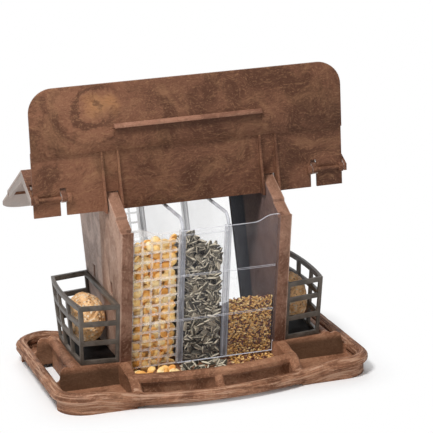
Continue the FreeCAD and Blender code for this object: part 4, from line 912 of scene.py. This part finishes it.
def food_material(name, stops, grain_scale, grain_depth, stripe=None):
    """A dry seed coat whose colour follows each seed's tone, with stripes where given."""
    material, tree, shader = new_material(name)
    seed_tone = add_node(tree, "ShaderNodeAttribute", attribute_name="seed_tone").outputs["Fac"]
    ramp = add_node(tree, "ShaderNodeValToRGB", [("Fac", seed_tone)])
    while len(ramp.color_ramp.elements) < len(stops):
        ramp.color_ramp.elements.new(0.5)
    for element, (place, tone) in zip(ramp.color_ramp.elements, stops):
        element.position = place
        element.color = tone
    colour = ramp.outputs["Color"]
    speckle = noise(tree, place_on_piece(tree), Scale=grain_scale, Detail=4.0, Roughness=0.65)
    if stripe:
        line = add_node(tree, "ShaderNodeAttribute", attribute_name="seed_stripe").outputs["Fac"]
        ragged = work_out(tree, "MULTIPLY", work_out(tree, "SUBTRACT", speckle, 0.5), 0.6)
        striped = ramp_between(tree, work_out(tree, "ADD", line, ragged), 0.40, 0.70)
        colour = blend_colour(tree, striped, colour, stripe)
    colour = blend_colour(tree, ramp_between(tree, speckle, 0.50, 0.32, 0.0, 0.45), colour, stops[0][1])
    tree.links.new(colour, shader.inputs["Base Color"])
    bump = add_node(tree, "ShaderNodeBump", [("Height", speckle)], Strength=0.5, Distance=grain_depth)
    tree.links.new(bump.outputs["Normal"], shader.inputs["Normal"])
    shader.inputs["Roughness"].default_value = 0.5
    shader.inputs["Specular IOR Level"].default_value = 0.3
    return material


def shade_material(name, dim, paler):
    """The dim inside of a heap, mottled with what little light gets in."""
    material, tree, shader = new_material(name)
    blot = noise(tree, place_on_piece(tree), Scale=220.0, Detail=3.0)
    colour = blend_colour(tree, ramp_between(tree, blot, 0.4, 0.7), dim, paler)
    tree.links.new(colour, shader.inputs["Base Color"])
    shader.inputs["Roughness"].default_value = 0.9
    return material


def peanut_top(x, y):
    """Height of the peanuts, a little lower beside the left panel."""
    return PEANUT_HIGH - 0.10 * max(0.0, -0.055 - x) - HEAP_FALL * (y - HEAP_FRONT)


def sunflower_top(x, y):
    """Height of the sunflower seed, which falls away to the right."""
    return SUNFLOWER_HIGH - 0.55 * max(0.0, x + 0.020) - HEAP_FALL * (y - HEAP_FRONT)


def fine_seed_top(x, y):
    """Height of the fine seed, a low heap with its crest in the middle."""
    return FINE_SEED_HIGH - 0.07 * abs(x - 0.055) - HEAP_FALL * (y - HEAP_FRONT - 0.018)


peanut = seed_pattern((0.0132, 0.0098, 0.0074), 8, 6, taper=0.10, split=-0.12)
sunflower = seed_pattern((0.0132, 0.0059, 0.0038), 8, 6, taper=0.40)
fine_seed = seed_pattern((0.0041, 0.0023, 0.0020), 6, 4, taper=0.25)
peanut_coat = food_material("split_peanut", [
    (0.0, (0.72, 0.320, 0.065, 1)), (0.22, (0.96, 0.520, 0.150, 1)), (0.55, (0.99, 0.670, 0.265, 1)),
    (1.0, (0.99, 0.810, 0.460, 1))], 330.0, 0.0004)
sunflower_coat = food_material("striped_sunflower", [
    (0.0, (0.028, 0.024, 0.016, 1)), (0.40, (0.065, 0.056, 0.040, 1)), (0.80, (0.16, 0.14, 0.105, 1)),
    (1.0, (0.42, 0.36, 0.27, 1))], 700.0, 0.0002, stripe=(0.70, 0.62, 0.48, 1))
fine_seed_coat = food_material("fine_mixed_seed", [
    (0.0, (0.090, 0.028, 0.024, 1)), (0.26, (0.19, 0.068, 0.045, 1)), (0.38, (0.50, 0.245, 0.070, 1)),
    (0.72, (0.82, 0.480, 0.150, 1)), (1.0, (0.96, 0.740, 0.370, 1))], 900.0, 0.0002)
peanut_shade = shade_material("peanut_shade", (0.42, 0.215, 0.070, 1), (0.72, 0.43, 0.17, 1))
sunflower_shade = shade_material("sunflower_shade", (0.016, 0.014, 0.011, 1), (0.06, 0.052, 0.04, 1))
fine_seed_shade = shade_material("fine_seed_shade", (0.20, 0.100, 0.035, 1), (0.46, 0.265, 0.085, 1))
HEAPS = (
    ("peanuts", peanut, "left", (-0.0850, -0.0300), peanut_top, 0.0094, 0.42, 0.190,
     peanut_coat, peanut_shade, 0.0085),
    ("sunflower_seeds", sunflower, "middle", (-0.0290, 0.0290), sunflower_top, 0.0064, 0.50, 0.196,
     sunflower_coat, sunflower_shade, 0.0065),
    ("fine_seed", fine_seed, "right", (0.0300, 0.0850), fine_seed_top, 0.0026, 0.60, 0.100,
     fine_seed_coat, fine_seed_shade, 0.0040),
)
draw = random.Random(11)
for name, pattern, cell, trough, top, pitch, tilt, reach, coat, shade, gap in HEAPS:
    placed = pane_seeds(draw, pattern[0], CELLS[cell], (HEAP_FOOT, reach), top, pitch, 2, tilt)
    placed += top_seeds(draw, pattern[0], CELLS[cell], top, pitch * 1.05, tilt * 1.3)
    placed += trough_seeds(draw, pattern[0], trough, pitch, tilt * 1.2)
    heap_of(name, pattern, placed, coat)
    heap_core(f"{name}_core", CELLS[cell], top, shade, gap)

# Floor, light and camera: a pale floor that turns white away from the feeder, soft light from a strong
# panel high at the front left and weaker ones in front and behind, and a long lens at the photo's angle.
FLOOR_RADIUS = 9.0
FLOOR_DROP = 0.0002
FLOOR_HALF = (0.150, 0.100)
FLOOR_FADE = (0.020, 0.085)
SKY_LIGHT = 0.24
LAMP_AIM = Vector((0, 0, 0.15))


def seen_directly(tree):
    """1 for rays that show a thing to the camera, also in a reflection or through clear plastic."""
    rays = tree.nodes.new("ShaderNodeLightPath").outputs
    seen = work_out(tree, "MAXIMUM", rays["Is Camera Ray"], rays["Is Glossy Ray"])
    return work_out(tree, "MAXIMUM", seen, rays["Is Transmission Ray"])


bpy.ops.object.select_all(action="DESELECT")
bpy.ops.mesh.primitive_circle_add(vertices=96, radius=FLOOR_RADIUS, fill_type="NGON",
                                  location=(0, 0, -FLOOR_DROP))
floor = bpy.context.object
floor.name = "studio_floor"
pale, tree, shader = new_material("pale_floor")
shader.inputs["Base Color"].default_value = (0.88, 0.88, 0.88, 1)
shader.inputs["Roughness"].default_value = 0.9
axes = axes_of(tree, place_on_piece(tree))
side_x = work_out(tree, "ABSOLUTE", axes["X"])
side_y = work_out(tree, "ABSOLUTE", axes["Y"])
away = distance_past(tree, side_x, side_y, *FLOOR_HALF)
white_share = work_out(tree, "MULTIPLY", ramp_between(tree, away, *FLOOR_FADE), seen_directly(tree))
glow = add_node(tree, "ShaderNodeEmission", Strength=1.0)
mixed = add_node(tree, "ShaderNodeMixShader",
                 [(0, white_share), (1, shader.outputs[0]), (2, glow.outputs[0])])
tree.links.new(mixed.outputs[0], tree.nodes["Material Output"].inputs["Surface"])
floor.data.materials.append(pale)

world = bpy.data.worlds.new("studio_world")
bpy.context.scene.world = world
world.use_nodes = True
tree = world.node_tree
sky = tree.nodes["Background"]
sky.inputs["Color"].default_value = (0.97, 0.98, 1.0, 1)
tree.links.new(ramp_between(tree, seen_directly(tree), 0.0, 1.0, SKY_LIGHT, 1.0), sky.inputs["Strength"])


def soft_panel(name, place, size, watts):
    """A large square lamp that points at the middle of the feeder."""
    bpy.ops.object.light_add(type="AREA", location=place)
    lamp = bpy.context.object
    lamp.name = name
    lamp.data.size = size
    lamp.data.energy = watts
    lamp.rotation_euler = (LAMP_AIM - Vector(place)).to_track_quat("-Z", "Y").to_euler()


soft_panel("key_panel", (-1.00, -1.05, 2.2), size=0.6, watts=58)
soft_panel("front_panel", (-0.3, -2.4, 0.8), size=1.2, watts=8)
soft_panel("back_panel", (0.4, 1.8, 1.9), size=1.2, watts=16)

SENSOR = 36.0
LENS = 188.0
AZIMUTH = -16.46
ELEVATION = 14.717
ROLL = -2.468
AIM = Vector((0.04095, 0.0, 0.17686))
DISTANCE = 2.6475
back = Vector((math.sin(math.radians(AZIMUTH)) * math.cos(math.radians(ELEVATION)),
               -math.cos(math.radians(AZIMUTH)) * math.cos(math.radians(ELEVATION)),
               math.sin(math.radians(ELEVATION))))
turn = (-back).to_track_quat("-Z", "Y") @ Quaternion((0, 0, 1), math.radians(ROLL))
bpy.ops.object.camera_add(location=AIM + back * DISTANCE, rotation=turn.to_euler())
camera = bpy.context.object
camera.data.sensor_width = SENSOR
camera.data.lens = LENS
bpy.context.scene.camera = camera
bpy.context.scene.view_settings.view_transform = "Standard"
